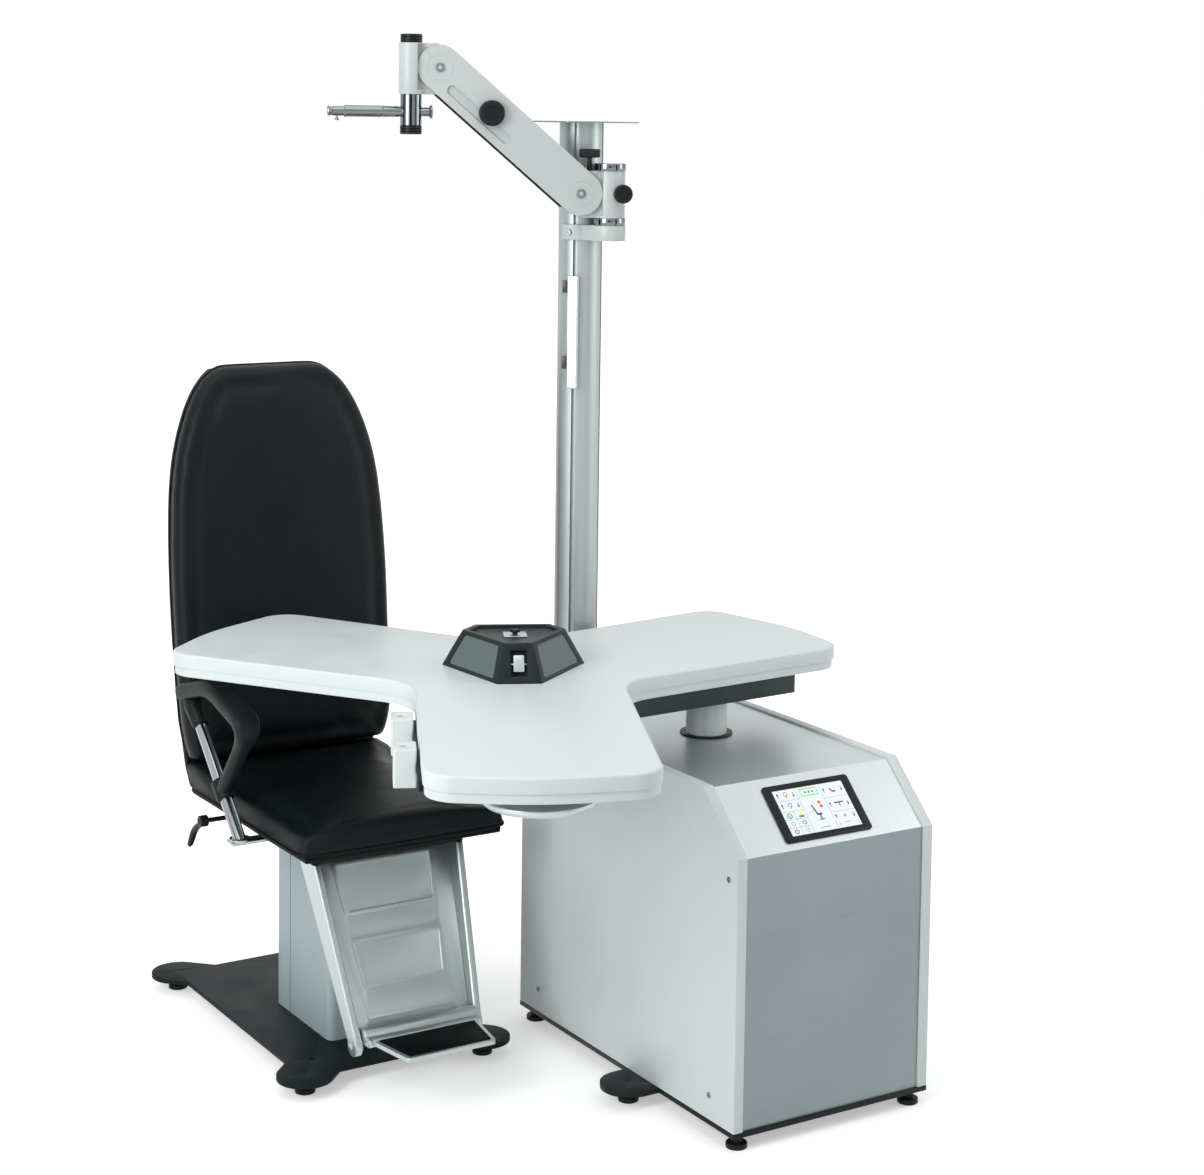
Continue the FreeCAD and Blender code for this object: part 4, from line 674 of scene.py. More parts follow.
def cushion(node, rounds, rest, roll, rim_axes):
    """One leather cushion. rest points at the shell; roll is the side roll's size."""
    bm = even_copy(node, cushion_voxel, rounds)
    hull = [Vector((vert.co[rim_axes[0]], vert.co[rim_axes[1]])) for vert in bm.verts]
    rim = [hull[i] for i in convex_hull_2d(hull)]
    far = max(vert.co.dot(rest) for vert in bm.verts)
    bm.normal_update()
    for vert in bm.verts:
        if vert.normal.dot(rest) < 0.3:
            vert.co -= vert.normal * shrink
    mesh = bpy.data.meshes.new(node)
    bm.to_mesh(mesh)
    bm.free()
    obj = bpy.data.objects.new(node, mesh)
    bpy.context.collection.objects.link(obj)
    held = [vertex.index for vertex in mesh.vertices if far - vertex.co.dot(rest) < held_depth
            or vertex.normal.dot(rest) > 0.5]
    swell(obj, held, air_pressure, swell_cap)
    bm = bmesh.new()
    bm.from_mesh(mesh)
    bm.normal_update()
    width, height, groove = roll
    for vert in bm.verts:
        if vert.normal.dot(rest) < -0.2:
            inside = edge_distance(Vector((vert.co[rim_axes[0]], vert.co[rim_axes[1]])), rim)
            rise = height * math.exp(-((inside - width * 0.5) / (width * 0.34)) ** 2)
            dip = groove * math.exp(-((inside - width * 1.15) / (width * 0.26)) ** 2)
            vert.co += rest * (dip - rise) * min(1, -vert.normal.dot(rest) * 1.4)
    for _ in range(2):
        bmesh.ops.smooth_vert(bm, verts=bm.verts, factor=0.5, use_axis_x=True, use_axis_y=True,
                              use_axis_z=True)
    bpy.data.objects.remove(obj)
    return bm


back_lean = Vector((0, 1, -0.12)).normalized()
back_roll, seat_roll = (42 * MM, 4 * MM, 3 * MM), (38 * MM, 2.5 * MM, 1.5 * MM)
back_bm = cushion("back_cushion", 8, back_lean, back_roll, (0, 2))
seat_bm = cushion("seat_cushion", 14, -Z, seat_roll, (0, 1))
print("points in the cushions:", len(back_bm.verts), len(seat_bm.verts))

# %% [markdown]
# The welt of the backrest is thin and lies near the shell. The seat's is thicker, because
# on the real seat the cushion and the shell under it read as one closed form.

# %% Finished cushions
back_welt, seat_welt = 1.8 * MM, 4.5 * MM
back_welt_from_rear, seat_welt_rise = 16 * MM, 5 * MM


def finished_cushion(node, bm, plane_place, plane_normal, welt_radius):
    """Adds the welt and one subdivision, and stands the cushion in its solid's place."""
    trim = welt(bm, plane_place, plane_normal, welt_radius, 0.6 * MM)
    piece = stand_in(node, "leather", bm, 80)
    fine = piece.modifiers.new("fine", "SUBSURF")
    fine.levels = fine.render_levels = 1
    link_piece(node + "_welt", trim, slot_of[node], home[node], look="shell_plastic")


back_low, back_high = box_of("back_cushion")
back_plane = Vector((0, back_high.y, back_high.z)) - back_lean * back_welt_from_rear
finished_cushion("back_cushion", back_bm, back_plane, back_lean, back_welt)
seat_low, seat_high = box_of("seat_cushion")
seat_plane = Vector((0, 0, seat_low.z + seat_welt_rise))
finished_cushion("seat_cushion", seat_bm, seat_plane, Z, seat_welt)
print("cushions done")

# %% [markdown]
# The seat shell, sheets and other firm parts keep their measured shapes with softened
# edges. A real edge is never perfectly sharp, and its thin highlight tells the eye how
# large the part is.

# %% Firm parts with softened edges, widths in millimetres
edge_widths = {"side_panel_left": 1.0, "side_panel_right": 1.0, "console_base_plate": 1.2,
               "seat_shell": 3.0, "seat_frame": 1.5, "seat_carrier": 1.5, "chair_base_plate": 1.5,
               "tool_holders": 1.2, "holder_rail": 0.8, "arm_clamp": 1.5,
               "pivot_body": 1.5, "head_block": 1.6, "pivot_rings": 1.2, "hub_body": 2.2,
               "hub_plate": 0.4, "hub_rocker": 0.8, "screen_bezel": 1.2, "light_housing": 1.0,
               "light_diffuser": 0.8, "light_clips": 0.6, "shelf_plate": 0.5, "lobe_disc": 1.0,
               "table_top": 1.2, "table_rim": 1.2, "table_arm": 1.5, "rail_left": 1.5, "rail_right": 1.5,
               "footrest_panel": 1.1, "nose_bar": 0.8, "foot_tray": 1.0, "foot_mat": 0.6,
               "arm_tube_left": 0.8, "arm_tube_right": 0.8, "armrest_bars": 0.8, "lift_tube": 0.6}
for node, width in edge_widths.items():
    dress(node, width * MM)
print("dressed parts:", len(edge_widths))

# %% [markdown]
# The arm's front face has a long recess with round ends beside its knob. The measured arm
# has it as a shallow groove, and it is cut deeper here so that it holds a shadow. The
# cutter is the hull of two round discs, one for each end of the recess.

# %% The arm with its slot cut deeper
joint_of = {joint["name"]: joint for joint in record["behaviour"]["joints"]}
front = Vector(joint_of["side_turn"]["axis"])
hinge_spots = [Vector(joint_of[joint]["pos_m"]) for joint in ("arm_lift", "head_level")]
arm_run = (hinge_spots[1] - hinge_spots[0]).normalized()
arm_down = arm_run.cross(front)
arm_down = -arm_down if arm_down.z > 0 else arm_down
arm_face = span("arm_beam", hinge_spots[0], front)[1]
arm_length = (hinge_spots[1] - hinge_spots[0]).length
slot_tool = bmesh.new()
slot_radius, slot_depth, slot_below = 10.6 * MM, 4.4 * MM, 19 * MM
slot_ends, arm_edge, arm_crisp = (0.49, 0.87), 2.2 * MM, 14
turn_to_front = front.to_track_quat("Z", "Y").to_matrix().to_4x4()
for share in slot_ends:
    spot = hinge_spots[0] + arm_run * (arm_length * share) + arm_down * slot_below + front * arm_face
    bmesh.ops.create_cone(slot_tool, cap_ends=True, segments=40, radius1=slot_radius, radius2=slot_radius,
                          depth=slot_depth * 2, matrix=Matrix.Translation(spot) @ turn_to_front)
bmesh.ops.delete(slot_tool, geom=slot_tool.edges[:] + slot_tool.faces[:], context="EDGES_FACES")
bmesh.ops.convex_hull(slot_tool, input=slot_tool.verts)
arm = merged("arm_beam")
soften(arm, arm_edge)
stand_in("arm_beam", "dressed", cut_away(arm, slot_tool), arm_crisp)
print("arm length:", round(arm_length, 3))

# %% [markdown]
# An armrest pad is one moulded bar, flat on top, bent down at the front and running back
# down to the tube that carries it. A bar swept along a rounded path makes it, and its
# section grows slimmer on the way. Two turned collars cover where pad and tube meet.

# %% Armrest pads
pad_places = ((0.987, 0.766), (0.513, 0.952), (0.004, 0.775), (0.378, 0.118))
pad_bends = (190 * MM, 24 * MM)
pad_half_width, pad_half_thick = 28 * MM, 17.5 * MM
strut_half_width, strut_half_thick = 17 * MM, 14.5 * MM
tube_end_inset, tube_foot_inset = 9.2 * MM, 22 * MM
collar_half = 23 * MM
collar_rows = [(0, 15.0), (2, 17.6), (5, 18.6), (41, 19.4), (44, 18.6), (46, 15.5)]
socket_rows = [(-48, 15.0), (-46, 17.0), (-42, 18.2), (4, 21.5), (20, 19.0)]


def pad_section(share):
    """Wide and flat on top, slimmer down the strut, with a rounded rear end."""
    slim = min(1, max(0, (share - 0.60) / 0.16))
    slim = slim * slim * (3 - 2 * slim)
    end = math.sqrt(max(0.08, 1 - (1 - min(1, share / 0.045)) ** 2))
    half_width = pad_half_width + (strut_half_width - pad_half_width) * slim
    half_thick = pad_half_thick + (strut_half_thick - pad_half_thick) * slim
    return half_width * end, half_thick * end, 3.4 - slim


def armrest(node, tube_node):
    low, high = box_of(node)
    size, x = high - low, (low.x + high.x) / 2
    places = [Vector((x, low.y + size.y * a, low.z + size.z * b)) for a, b in pad_places]
    bm = bmesh.new()
    swept_bar(bm, rounded_path(places, pad_bends, 5 * MM), X, pad_section)
    tube_low, tube_high = box_of(tube_node)
    foot = Vector((x, tube_low.y + tube_foot_inset, tube_low.z))
    top = Vector((x, tube_high.y - tube_end_inset, tube_high.z - tube_end_inset))
    along = (top - foot).normalized()
    collar_place = foot + along * ((places[3].z - foot.z) / along.z) - along * collar_half
    turned_solid(bm, in_mm(collar_rows), collar_place, along)
    turned_solid(bm, in_mm(socket_rows), top, along)
    stand_in(node, "moulded", bm, 50)


armrest("arm_pad_left", "arm_tube_left")
armrest("arm_pad_right", "arm_tube_right")
print("armrests done")

# %% [markdown]
# Three clamp knobs hold the pole's clamp, the pivot and the arm. Each is a shank with a
# fluted head on it. The head's radius and reach come from the measured knob, so the ribs
# fill the same space.

# %% Clamp knobs
def knob(node, joint, axis, width, flutes):
    """A ribbed clamp knob on its shank, as wide as its measured part."""
    origin, shank = Vector(joint_of[joint]["pos_m"]), 5 * MM
    low, high = span(node, origin, axis)
    spots = [vertex.co - origin for vertex in frame["nodes"][node].data.vertices]
    radius = max((spot - axis * spot.dot(axis)).length for spot in spots)
    face = high - width
    rows = [(low, shank, False), (face - 0.4 * MM, shank, False), (face, radius * 0.80, False),
            (face + 1.6 * MM, radius * 0.97, True), (face + 3 * MM, radius, True),
            (high - 2.4 * MM, radius, True), (high - 0.6 * MM, radius * 0.95, True),
            (high, radius * 0.86, False), (high, radius * 0.56, False),
            (high - 1.4 * MM, radius * 0.52, False), (high - 1.4 * MM, radius * 0.30, False),
            (high - 0.5 * MM, radius * 0.27, False), (high - 0.5 * MM, 0.3 * MM, False)]
    bm = bmesh.new()
    turned_solid(bm, rows, origin, axis, flutes, 0.9 * MM, flutes * 6)
    stand_in(node, "ribbed", bm, 40)


knob("arm_knob", "arm_knob_turn", front, 17 * MM, 40)
knob("pivot_knob", "side_turn", front, 15 * MM, 32)
knob("post_knob", "post_turn", Z, 18 * MM, 34)
print("clamp knobs done")

# %% [markdown]
# The stick on the hub has a head with four lobes for a thumb and fingers. It is a turned
# solid with four deep flutes.

# %% Stick on the hub
stick = bmesh.new()
hub_low, hub_high = box_of("hub_knob")
hub_spot = (hub_low + hub_high) / 2
hub_spot.z = hub_low.z
stick_height = (hub_high.z - hub_low.z) / MM
stick_rows = [(0, 5.0), (stick_height - 7.4, 5.0), (stick_height - 7, 6.2),
              (stick_height - 6, 10.4, True), (stick_height - 2.4, 11.0, True),
              (stick_height - 0.6, 9.6, True), (stick_height, 5.2), (stick_height - 0.8, 3.6),
              (stick_height - 0.8, 0.3)]
lobes, lobe_depth = 4, 3.4 * MM
turned_solid(stick, in_mm(stick_rows), hub_spot, Z, lobes, lobe_depth)
stand_in("hub_knob", "lobed", stick, 45)
print("stick height:", round(stick_height, 1), "mm")

# %% [markdown]
# A black cap with two grooves closes the head at either end. One profile serves both, and
# it is turned once upwards and once downwards.

# %% Head caps
cap_height = 18 * MM
caps = bmesh.new()
cap_low, cap_high = box_of("head_caps")
cap_spot = (cap_low + cap_high) / 2
cap_rows = [(0, 20.6), (0.8, 22.0), (2.2, 22.5), (5.6, 22.5), (6.3, 21.7), (7.0, 22.5),
            (11.0, 22.5), (11.7, 21.7), (12.4, 22.5), (15.8, 22.5), (17.2, 22.0), (18, 20.6),
            (18, 9), (17.2, 8), (17.2, 0.3)]
for end, way in ((cap_low.z + cap_height, -Z), (cap_high.z - cap_height, Z)):
    turned_solid(caps, in_mm(cap_rows), Vector((cap_spot.x, cap_spot.y, end)), way)
stand_in("head_caps", "grooved", caps, 40)
print("head caps done")

# %% [markdown]
# The lever under the seat turns on a boss and ends in a flat paddle. The shank and the
# boss are turned, and the paddle is a bar that widens in the middle and thins at its tip.

# %% Lock lever
boss_half, shank_radius, tip_inset = 9 * MM, 5 * MM, 5 * MM
lever = bmesh.new()
pivot = Vector(joint_of["lock_turn"]["pos_m"])
lever_low, lever_high = box_of("lock_lever")
lever_x = lever_low.x + boss_half
turned_solid(lever, [(0, shank_radius, False), (lever_high.x - lever_x - boss_half, shank_radius, False)],
             Vector((lever_high.x, pivot.y, pivot.z)), -X)
boss_rows = [(0, 10.6), (1.2, 12), (16.8, 12), (18, 10.6), (18, 6), (16.6, 5), (16.6, 0.3)]
turned_solid(lever, in_mm(boss_rows), Vector((lever_x + boss_half, pivot.y, pivot.z)), -X)
lever_tip = Vector((lever_x, lever_high.y - tip_inset, lever_low.z + tip_inset))
elbow = Vector((lever_x, pivot.y + (lever_tip.y - pivot.y) * 0.62,
                pivot.z + (lever_tip.z - pivot.z) * 0.40))
paddle_path = rounded_path([Vector((lever_x, pivot.y, pivot.z)), elbow, lever_tip], (70 * MM,), 3 * MM)


def paddle_section(share):
    """Wider in the middle of the paddle, and thin over its last part."""
    tip = max(0, share - 0.94) / 0.06
    half_width = (5.2 + 2.4 * math.sin(math.pi * min(1, share * 0.9)) - 3.4 * tip) * MM
    half_thick = (4.4 + 1.8 * math.sin(math.pi * min(1, share)) - 2.6 * tip) * MM
    return half_width, half_thick, 2.4


swept_bar(lever, paddle_path, X, paddle_section)
stand_in("lock_lever", "curved", lever, 45)
print("lever done")

# %% [markdown]
# The console's panels and the clamp are held by screws with a socket in their heads. The
# measured screws are plain discs in one part, so their loose solids are told apart first,
# and a turned screw with a socket is put where each of them sits.

# %% Screws with hexagonal sockets
screw_rows = [(0, 1.0, False), (0.55, 1.0, False), (0.85, 0.93, False), (1.0, 0.80, False),
              (1.0, 0.52, True), (0.35, 0.50, True), (0.35, 0.02, False)]
socket_sides, socket_depth = 6, 0.07


def socket_screw(bm, base, axis, radius, height):
    """A screw head with a socket; the rows above are shares of its height and radius."""
    rows = [(along * height, share * radius, fluted) for along, share, fluted in screw_rows]
    turned_solid(bm, rows, base, axis, socket_sides, radius * socket_depth)


def islands(node):
    """The measured part's loose solids, each as a list of points."""
    bm = merged(node)
    seen, found = set(), []
    for start in bm.verts:
        if start in seen:
            continue
        stack, spots = [start], []
        seen.add(start)
        while stack:
            vert = stack.pop()
            spots.append(vert.co.copy())
            for edge in vert.link_edges:
                other = edge.other_vert(vert)
                if other not in seen:
                    seen.add(other)
                    stack.append(other)
        found.append(spots)
    bm.free()
    return found


screws = bmesh.new()
panel_low, panel_high = box_of("side_panel_left")
panel_middle, panel_reach = (panel_low.x + panel_high.x) / 2, 20 * MM
pole_low, pole_high = box_of("pole")
pole_spot = (pole_low + pole_high) / 2
for spots in islands("stand_screws"):
    centre = sum(spots, Vector()) / len(spots)
    if centre.z > panel_high.z:
        axis = Vector((centre.x - pole_spot.x, centre.y - pole_spot.y, 0)).normalized()
    else:
        axis = -X if centre.x < panel_middle + panel_reach else X
    reach = [(spot - centre).dot(axis) for spot in spots]
    radius = max(((spot - centre) - axis * (spot - centre).dot(axis)).length for spot in spots)
    socket_screw(screws, centre + axis * min(reach), axis, radius, max(reach) - min(reach))
stand_in("stand_screws", "sockets", screws)
print("panel and clamp screws done")

# %% [markdown]
# Each end of the arm turns on a screw with a socket, in a flat ring on the arm's face. The
# screw belongs to the pivot or the head, and the ring to the arm, so that they stay with
# the right body when the arm lifts. A dark bar under the arm stands for its parallel link,
# and it is also painted shade: a black line where the arm's underside lies in shadow.

# %% Hinge screws, rings and the bar under the arm
hinge_face, hinge_radius, hinge_height = 16.25 * MM, 9.6 * MM, 3.6 * MM
ring_face = 15.9 * MM
ring_rows = [(0, 25.4), (0.7, 25.9), (0.7, 26.9), (0, 27.4), (0, 25.4)]
rings = bmesh.new()
for spot, node in zip(hinge_spots, ("pivot_body", "head_block")):
    turned_solid(rings, in_mm(ring_rows), spot + front * ring_face, front)
    hinge_screw = bmesh.new()
    socket_screw(hinge_screw, spot + front * hinge_face, front, hinge_radius, hinge_height)
    link_piece(node + "_hinge_screw", as_mesh(hinge_screw, "screw"), "chrome_plate", home[node],
               look="screw_steel")
link_piece("arm_hinge_rings", as_mesh(rings, "arm_hinge_rings"), slot_of["arm_beam"], home["arm_beam"],
           look="arm_paint")
bar_drop, bar_start, bar_stop = 44 * MM, 12 * MM, 26 * MM
bar_section = (5 * MM, 5.5 * MM, 6)
# The black bar is partly painted shade: a dark line where the arm's underside is in shadow
link_and_shade_bar = bmesh.new()
bar_ends = [hinge_spots[0] + arm_run * bar_start + arm_down * bar_drop,
            hinge_spots[1] - arm_run * bar_stop + arm_down * bar_drop]
swept_bar(link_and_shade_bar, bar_ends, front, lambda share: bar_section, 24)
link_piece("arm_link_and_shade_line", as_mesh(link_and_shade_bar, "arm_link_and_shade_line", 40), "black_plastic", home["arm_beam"])
print("hinges done")

# %% [markdown]
# The touch screen shows a made-up page: boxes with arrows, a lamp, a chair, a table and
# power marks, all as thin flat shapes that sit just above the glass and glow a little.
# It has no words.

# %% Screen inks and the page's place
def flat_finish(name, color, glow):
    return finish(name, color, 0.25, glow=glow, uneven=0.01, spread=0.02)


inks = {"ink": flat_finish("screen ink", (0.035, 0.045, 0.09), 0.2),
        "line": flat_finish("screen line", (0.25, 0.28, 0.32), 0.3),
        "green": flat_finish("screen green", (0.07, 0.62, 0.06), 0.6),
        "leaf": flat_finish("screen leaf", (0.02, 0.22, 0.03), 0.4),
        "red": flat_finish("screen red", (0.80, 0.02, 0.02), 0.6),
        "wine": flat_finish("screen wine", (0.22, 0.01, 0.06), 0.3),
        "yellow": flat_finish("screen yellow", (0.92, 0.84, 0.02), 0.6)}
glass_low, glass_high = box_of("screen_face")
glass_centre = (glass_low + glass_high) / 2
slope_drop, slope_setback = 112, 118
slope = math.atan2(slope_drop, slope_setback)
page_up = Vector((0, math.cos(slope), math.sin(slope)))
page_out = X.cross(page_up)
page_top = span("screen_face", glass_centre, page_out)[1]
page_width = glass_high.x - glass_low.x
page_height = 100 * MM
page_ratio = page_width / page_height
ink_gap, ink_height = 0.15 * MM, 0.12 * MM
layers = {name: bmesh.new() for name in inks}


print("page width:", round(page_width, 3))

# %% [markdown]
# The page is drawn with four marks: a filled shape, a straight stroke, a ring and a disc.
# Places on it are shares of its width and height, as on squared paper.

# %% Marks for the page
def on_page(across, up):
    """A point on the page from shares of its width and height, just above the glass."""
    return (glass_centre + X * ((across - 0.5) * page_width) + page_up * ((up - 0.5) * page_height)
            + page_out * (page_top + ink_gap))


def ink_shape(ink, points):
    """A thin raised shape: one face on the page, drawn out by a hair."""
    bm = layers[ink]
    face = bm.faces.new([bm.verts.new(on_page(across, up)) for across, up in points])
    drawn = bmesh.ops.extrude_face_region(bm, geom=[face])["geom"]
    top = [item for item in drawn if isinstance(item, bmesh.types.BMVert)]
    bmesh.ops.translate(bm, verts=top, vec=page_out * ink_height)


def ink_bar(ink, start, end, width):
    """A straight stroke between two page points; width is a share of the page's width."""
    a, b = Vector(start), Vector(end)
    run = Vector((b.x - a.x, (b.y - a.y) / page_ratio)).normalized()
    side = Vector((-run.y, run.x * page_ratio)) * (width / 2)
    ink_shape(ink, [a - side, b - side, b + side, a + side])


def ink_ring(ink, centre, radius, width, start=0.0, end=1.0, count=20):
    """A ring or a part of one, from a share of the full turn to another."""
    for i in range(count):
        turns = [2 * math.pi * (start + (end - start) * k / count) for k in (i, i + 1)]
        inner, outer = radius - width / 2, radius + width / 2
        corners = [(inner, turns[0]), (inner, turns[1]), (outer, turns[1]), (outer, turns[0])]
        ink_shape(ink, [(centre[0] + r * math.sin(t), centre[1] + r * page_ratio * math.cos(t))
                        for r, t in corners])


def ink_disc(ink, centre, radius, count=16):
    """A filled disc."""
    turns = [-2 * math.pi * k / count for k in range(count)]
    ink_shape(ink, [(centre[0] + radius * math.sin(t), centre[1] + radius * page_ratio * math.cos(t))
                    for t in turns])


def arrow(x, y, way):
    """A small arrow that points up or down."""
    ink_bar("ink", (x, y - 0.045 * way), (x, y + 0.02 * way), 0.008)
    tip = [(x - 0.016, y + 0.015 * way), (x + 0.016, y + 0.015 * way), (x, y + 0.06 * way)]
    ink_shape("ink", tip if way > 0 else tip[::-1])


print("marks ready")

# %% [markdown]
# Left on the page are boxes for lamps and power, in the middle a chair, and right the
# arrows for chair, table and lamp. The marks follow the real page's layout only.

# %% The page's content
for x in (0.32, 0.66):
    ink_bar("line", (x, 0.02), (x, 0.98), 0.003)
for y in (0.76, 0.52, 0.34, 0.17):
    ink_bar("line", (0.01, y), (0.32, y), 0.003)
for y in (0.68, 0.36):
    ink_bar("line", (0.66, y), (0.99, y), 0.003)
ink_bar("line", (0.16, 0.02), (0.16, 0.52), 0.003)
for y in (0.88, 0.64):
    arrow(0.05, y, 1)
    arrow(0.27, y, -1)
    ink_ring("ink", (0.16, y + 0.02), 0.024, 0.006)
    ink_bar("ink", (0.15, y - 0.045), (0.17, y - 0.045), 0.008)
ink_bar("yellow", (0.13, 0.80), (0.20, 0.80), 0.014)
ink_bar("yellow", (0.14, 0.545), (0.18, 0.545), 0.014)
ink_ring("leaf", (0.085, 0.43), 0.032, 0.009)
ink_ring("leaf", (0.085, 0.43), 0.012, 0.005)
ink_bar("leaf", (0.21, 0.39), (0.28, 0.39), 0.024)
ink_disc("yellow", (0.245, 0.455), 0.017)
ink_ring("line", (0.085, 0.255), 0.024, 0.006)
for x, y, ink in ((0.245, 0.255, "leaf"), (0.085, 0.085, "wine")):
    ink_ring(ink, (x, y), 0.026, 0.009, 0.1, 0.9)
    ink_bar(ink, (x, y), (x, y + 0.055), 0.009)
ink_ring("line", (0.245, 0.085), 0.026, 0.004)
ink_bar("line", (0.245, 0.06), (0.245, 0.11), 0.004)
box_corners = [(0.37, 0.80), (0.61, 0.80), (0.61, 0.95), (0.37, 0.95)]
for here, after in zip(box_corners, box_corners[1:] + box_corners[:1]):
    ink_bar("green", here, after, 0.012)
for x in (0.44, 0.49, 0.54):
    ink_disc("ink", (x, 0.875), 0.012)
ink_bar("ink", (0.44, 0.58), (0.47, 0.36), 0.020)
ink_bar("ink", (0.47, 0.37), (0.53, 0.37), 0.024)
ink_bar("ink", (0.50, 0.36), (0.50, 0.25), 0.016)
ink_bar("ink", (0.46, 0.25), (0.54, 0.25), 0.010)
ink_bar("red", (0.38, 0.44), (0.44, 0.46), 0.006)
ink_disc("red", (0.56, 0.62), 0.020)
ink_disc("red", (0.57, 0.53), 0.020)
ink_bar("line", (0.42, 0.08), (0.56, 0.08), 0.008)
for y in (0.84, 0.52):
    arrow(0.70, y, 1)
    arrow(0.95, y, -1)
ink_bar("ink", (0.79, 0.88), (0.81, 0.80), 0.016)
ink_bar("ink", (0.81, 0.80), (0.86, 0.80), 0.018)
ink_bar("ink", (0.76, 0.55), (0.89, 0.55), 0.016)
ink_bar("ink", (0.825, 0.55), (0.825, 0.46), 0.012)
arrow(0.70, 0.25, 1)
arrow(0.95, 0.25, -1)
ink_ring("ink", (0.825, 0.25), 0.014, 0.008)
ink_bar("line", (0.78, 0.11), (0.87, 0.11), 0.008)
ink_disc("red", (0.71, 0.08), 0.008)
for ink, bm in layers.items():
    shape = link_piece("screen_page_" + ink, as_mesh(bm, ink), slot_of["screen_face"],
                       home["screen_face"])
    shape.data.materials.clear()
    shape.data.materials.append(inks[ink])
print("screen page:", len(layers), "inks")

# %% [markdown]
# The hub's grey insets are thin plates with round corners. Their short edges are the ones
# that run through the thickness, so these are picked by their length and rounded.

# %% Hub insets
panels = merged("hub_panels")
bmesh.ops.dissolve_limit(panels, angle_limit=math.radians(1), verts=panels.verts, edges=panels.edges)
inset_thickness_limit, inset_corner = 4 * MM, 7 * MM
corner_edges = [edge for edge in panels.edges if edge.calc_length() < inset_thickness_limit]
bmesh.ops.bevel(panels, geom=corner_edges, offset=inset_corner, offset_type="OFFSET", affect="EDGES",
                segments=6, profile=0.5, clamp_overlap=True, material=-1)
stand_in("hub_panels", "inset", panels, 30)
print("rounded corners:", len(corner_edges))

# %% [markdown]
# The head carries a chrome rod for an instrument: an upright sleeve, a rod through it with
# collars and a grooved end, and a small peg under that end. All three are turned.

# %% Instrument rod
rod_rise, peg_place = 28 * MM, 152 * MM
head = bmesh.new()
head_axis = Vector(joint_of["head_turn"]["pos_m"])
rod_low, rod_high = box_of("head_rod")
rod_place = Vector((head_axis.x, head_axis.y, rod_low.z + rod_rise))
rod_way = Vector((-front.y, front.x, 0))
rod_way = -rod_way if rod_way.x > 0 else rod_way
sleeve_rows = [(0, 21.2), (0.8, 22), (63.0, 22), (63.9, 21.4), (63.9, 8.0),
               ((rod_high.z - rod_low.z) / MM, 8.0)]
turned_solid(head, in_mm(sleeve_rows), Vector((head_axis.x, head_axis.y, rod_low.z)), Z)
rod_rows = [(-44, 11.0), (-43.2, 13.4), (-42.4, 14.0), (-39.4, 14.0), (-38.4, 12.6), (-37, 9.6), (-24, 9.2),
            (24, 10.4), (26, 11.2), (57, 11.8), (58, 12.0), (59, 11.3), (60, 11.3), (61, 12.0),
            (132, 12.0), (135, 12.6), (137.4, 12.0), (138, 10.0), (162, 10.0), (163, 9.0), (165, 9.0),
            (166.5, 10.2), (169.5, 10.4), (171.4, 9.4), (172, 7.0)]
turned_solid(head, in_mm(rod_rows), rod_place, rod_way)
peg_rows = [(7, 2.2), (14, 2.2), (15, 4.2), (17.6, 4.6), (19, 3.6)]
turned_solid(head, in_mm(peg_rows), rod_place + rod_way * peg_place, -Z, steps=24)
stand_in("head_rod", "turned", head, 30)
print("rod done")

# %% [markdown]
# The studio is a pale flat floor and a world that is white where the camera, a mirror or
# glass sees it, and dim for soft light. The floor is lifted to white in the same way, and
# still holds the shadow.

# %% Floor and world
def seen_directly(tree):
    """One where a ray comes from the camera, a mirror or glass, and zero for soft light."""
    path = add(tree, "ShaderNodeLightPath")
    mirror = add(tree, "math", [(0, path.outputs["Is Glossy Ray"]),
                                (1, path.outputs["Is Transmission Ray"])], operation="MAXIMUM")
    return add(tree, "math", [(0, path.outputs["Is Camera Ray"]), (1, mirror.outputs[0])],
               operation="MAXIMUM")


def backdrop_material():
    material = bpy.data.materials.new("pale floor")
    material.use_nodes = True
    tree = material.node_tree
    shader = tree.nodes["Principled BSDF"]
    shader.inputs["Base Color"].default_value = (0.86, 0.86, 0.86, 1)
    shader.inputs["Roughness"].default_value = 0.8
    clouds = add(tree, "noise", [("Scale", 3.0), ("Detail", 2.0)])
    rough = add(tree, "range", [("Value", clouds.outputs["Fac"]), ("To Min", 0.75), ("To Max", 0.9)])
    tree.links.new(rough.outputs[0], shader.inputs["Roughness"])
    seen = seen_directly(tree)
    coord = add(tree, "coord")
    reach = add(tree, "ShaderNodeVectorMath", [(0, coord.outputs["Object"])], operation="LENGTH")
    level = add(tree, "range", [("Value", reach.outputs["Value"]), ("From Min", 0.8), ("From Max", 3.5),
                                ("To Min", 0.42), ("To Max", 0.80)])
    lift = add(tree, "math", [(0, seen.outputs[0]), (1, level.outputs[0])], operation="MULTIPLY")
    shader.inputs["Emission Color"].default_value = (1, 1, 1, 1)
    tree.links.new(lift.outputs[0], shader.inputs["Emission Strength"])
    return material


floor_mesh = bpy.data.meshes.new("floor")
floor_bm = bmesh.new()
bmesh.ops.create_grid(floor_bm, x_segments=2, y_segments=2, size=30)
floor_bm.to_mesh(floor_mesh)
floor = bpy.data.objects.new("floor", floor_mesh)
floor.data.materials.append(backdrop_material())
bpy.context.collection.objects.link(floor)

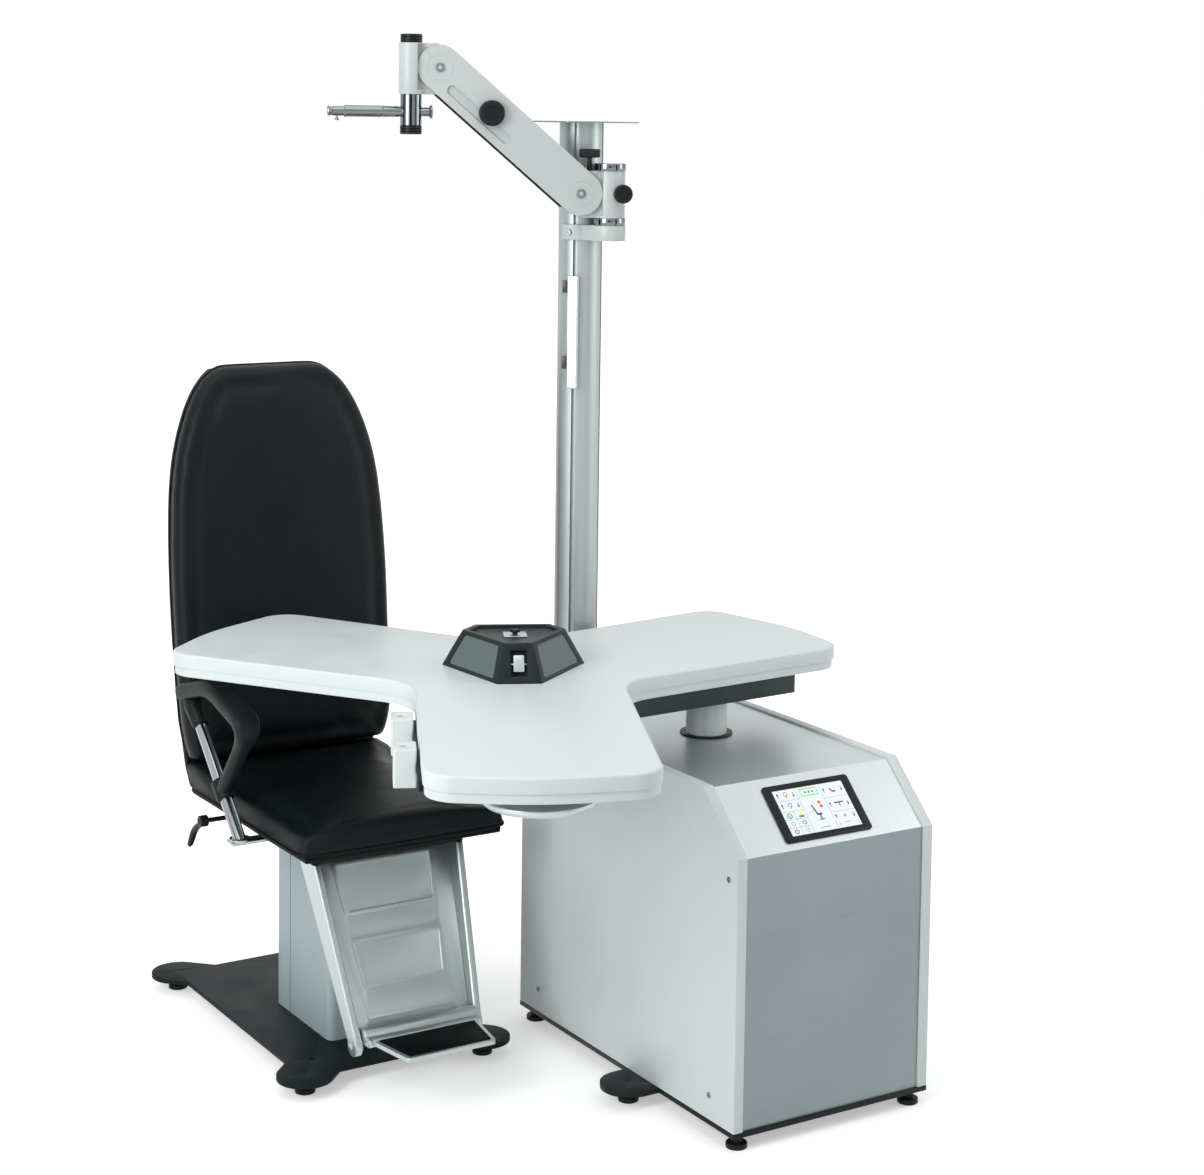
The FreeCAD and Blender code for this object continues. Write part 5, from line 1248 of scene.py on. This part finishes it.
world = bpy.data.worlds.new("studio")
bpy.context.scene.world = world
world.use_nodes = True
world_tree = world.node_tree
world_seen = seen_directly(world_tree)
world_level = add(world_tree, "range", [("Value", world_seen.outputs[0]), ("To Min", 0.42),
                                        ("To Max", 1.0)])
background = world_tree.nodes["Background"]
background.inputs["Color"].default_value = (1, 1, 1, 1)
world_tree.links.new(world_level.outputs[0], background.inputs["Strength"])


print("floor and world done")

# %% [markdown]
# Chrome in a white room looks flat, so three black cards stand around the unit where only
# mirrors see them. Soft area lamps stand left, right and above, so that round parts get
# long soft highlights.

# %% Cards and lamps
def dark_card(name, place_at, aim, size):
    """A black card that only mirrors see, for the dark bands on chrome."""
    bm = bmesh.new()
    bmesh.ops.create_grid(bm, x_segments=1, y_segments=1, size=0.5)
    mesh = bpy.data.meshes.new(name)
    bm.to_mesh(mesh)
    bm.free()
    card = bpy.data.objects.new(name, mesh)
    card.location, card.scale = place_at, (size[0], size[1], 1)
    card.rotation_euler = (Vector(aim) - Vector(place_at)).to_track_quat("Z", "Y").to_euler()
    card.data.materials.append(card_black)
    card.visible_camera = card.visible_diffuse = card.visible_shadow = False
    bpy.context.collection.objects.link(card)


def lamp(name, place_at, aim, size, power):
    """A soft area lamp that looks at a point."""
    data = bpy.data.lights.new(name, "AREA")
    data.shape, data.size, data.size_y, data.energy = "RECTANGLE", size[0], size[1], power
    obj = bpy.data.objects.new(name, data)
    obj.location = place_at
    obj.rotation_euler = (Vector(aim) - Vector(place_at)).to_track_quat("-Z", "Y").to_euler()
    bpy.context.collection.objects.link(obj)


unit_middle = (-0.2, 0.6, 0.9)
card_black = finish("card black", (0.01, 0.01, 0.01), 0.9, specular=0.1)
dark_card("left card", (-4.1, 2.0, 1.3), unit_middle, (1.3, 3.4))
dark_card("right card", (1.5, -3.9, 1.4), unit_middle, (0.9, 3.4))
dark_card("front card", (-3.6, -5.4, 2.1), unit_middle, (2.6, 1.3))
lamp("left window", (-3.6, -0.6, 2.3), unit_middle, (1.6, 2.6), 88)
lamp("right window", (3.2, -1.6, 2.4), unit_middle, (1.4, 2.6), 34)
lamp("top box", (-0.6, 0.2, 4.2), unit_middle, (3.4, 3.4), 52)
print("lamps:", len(bpy.data.lights))
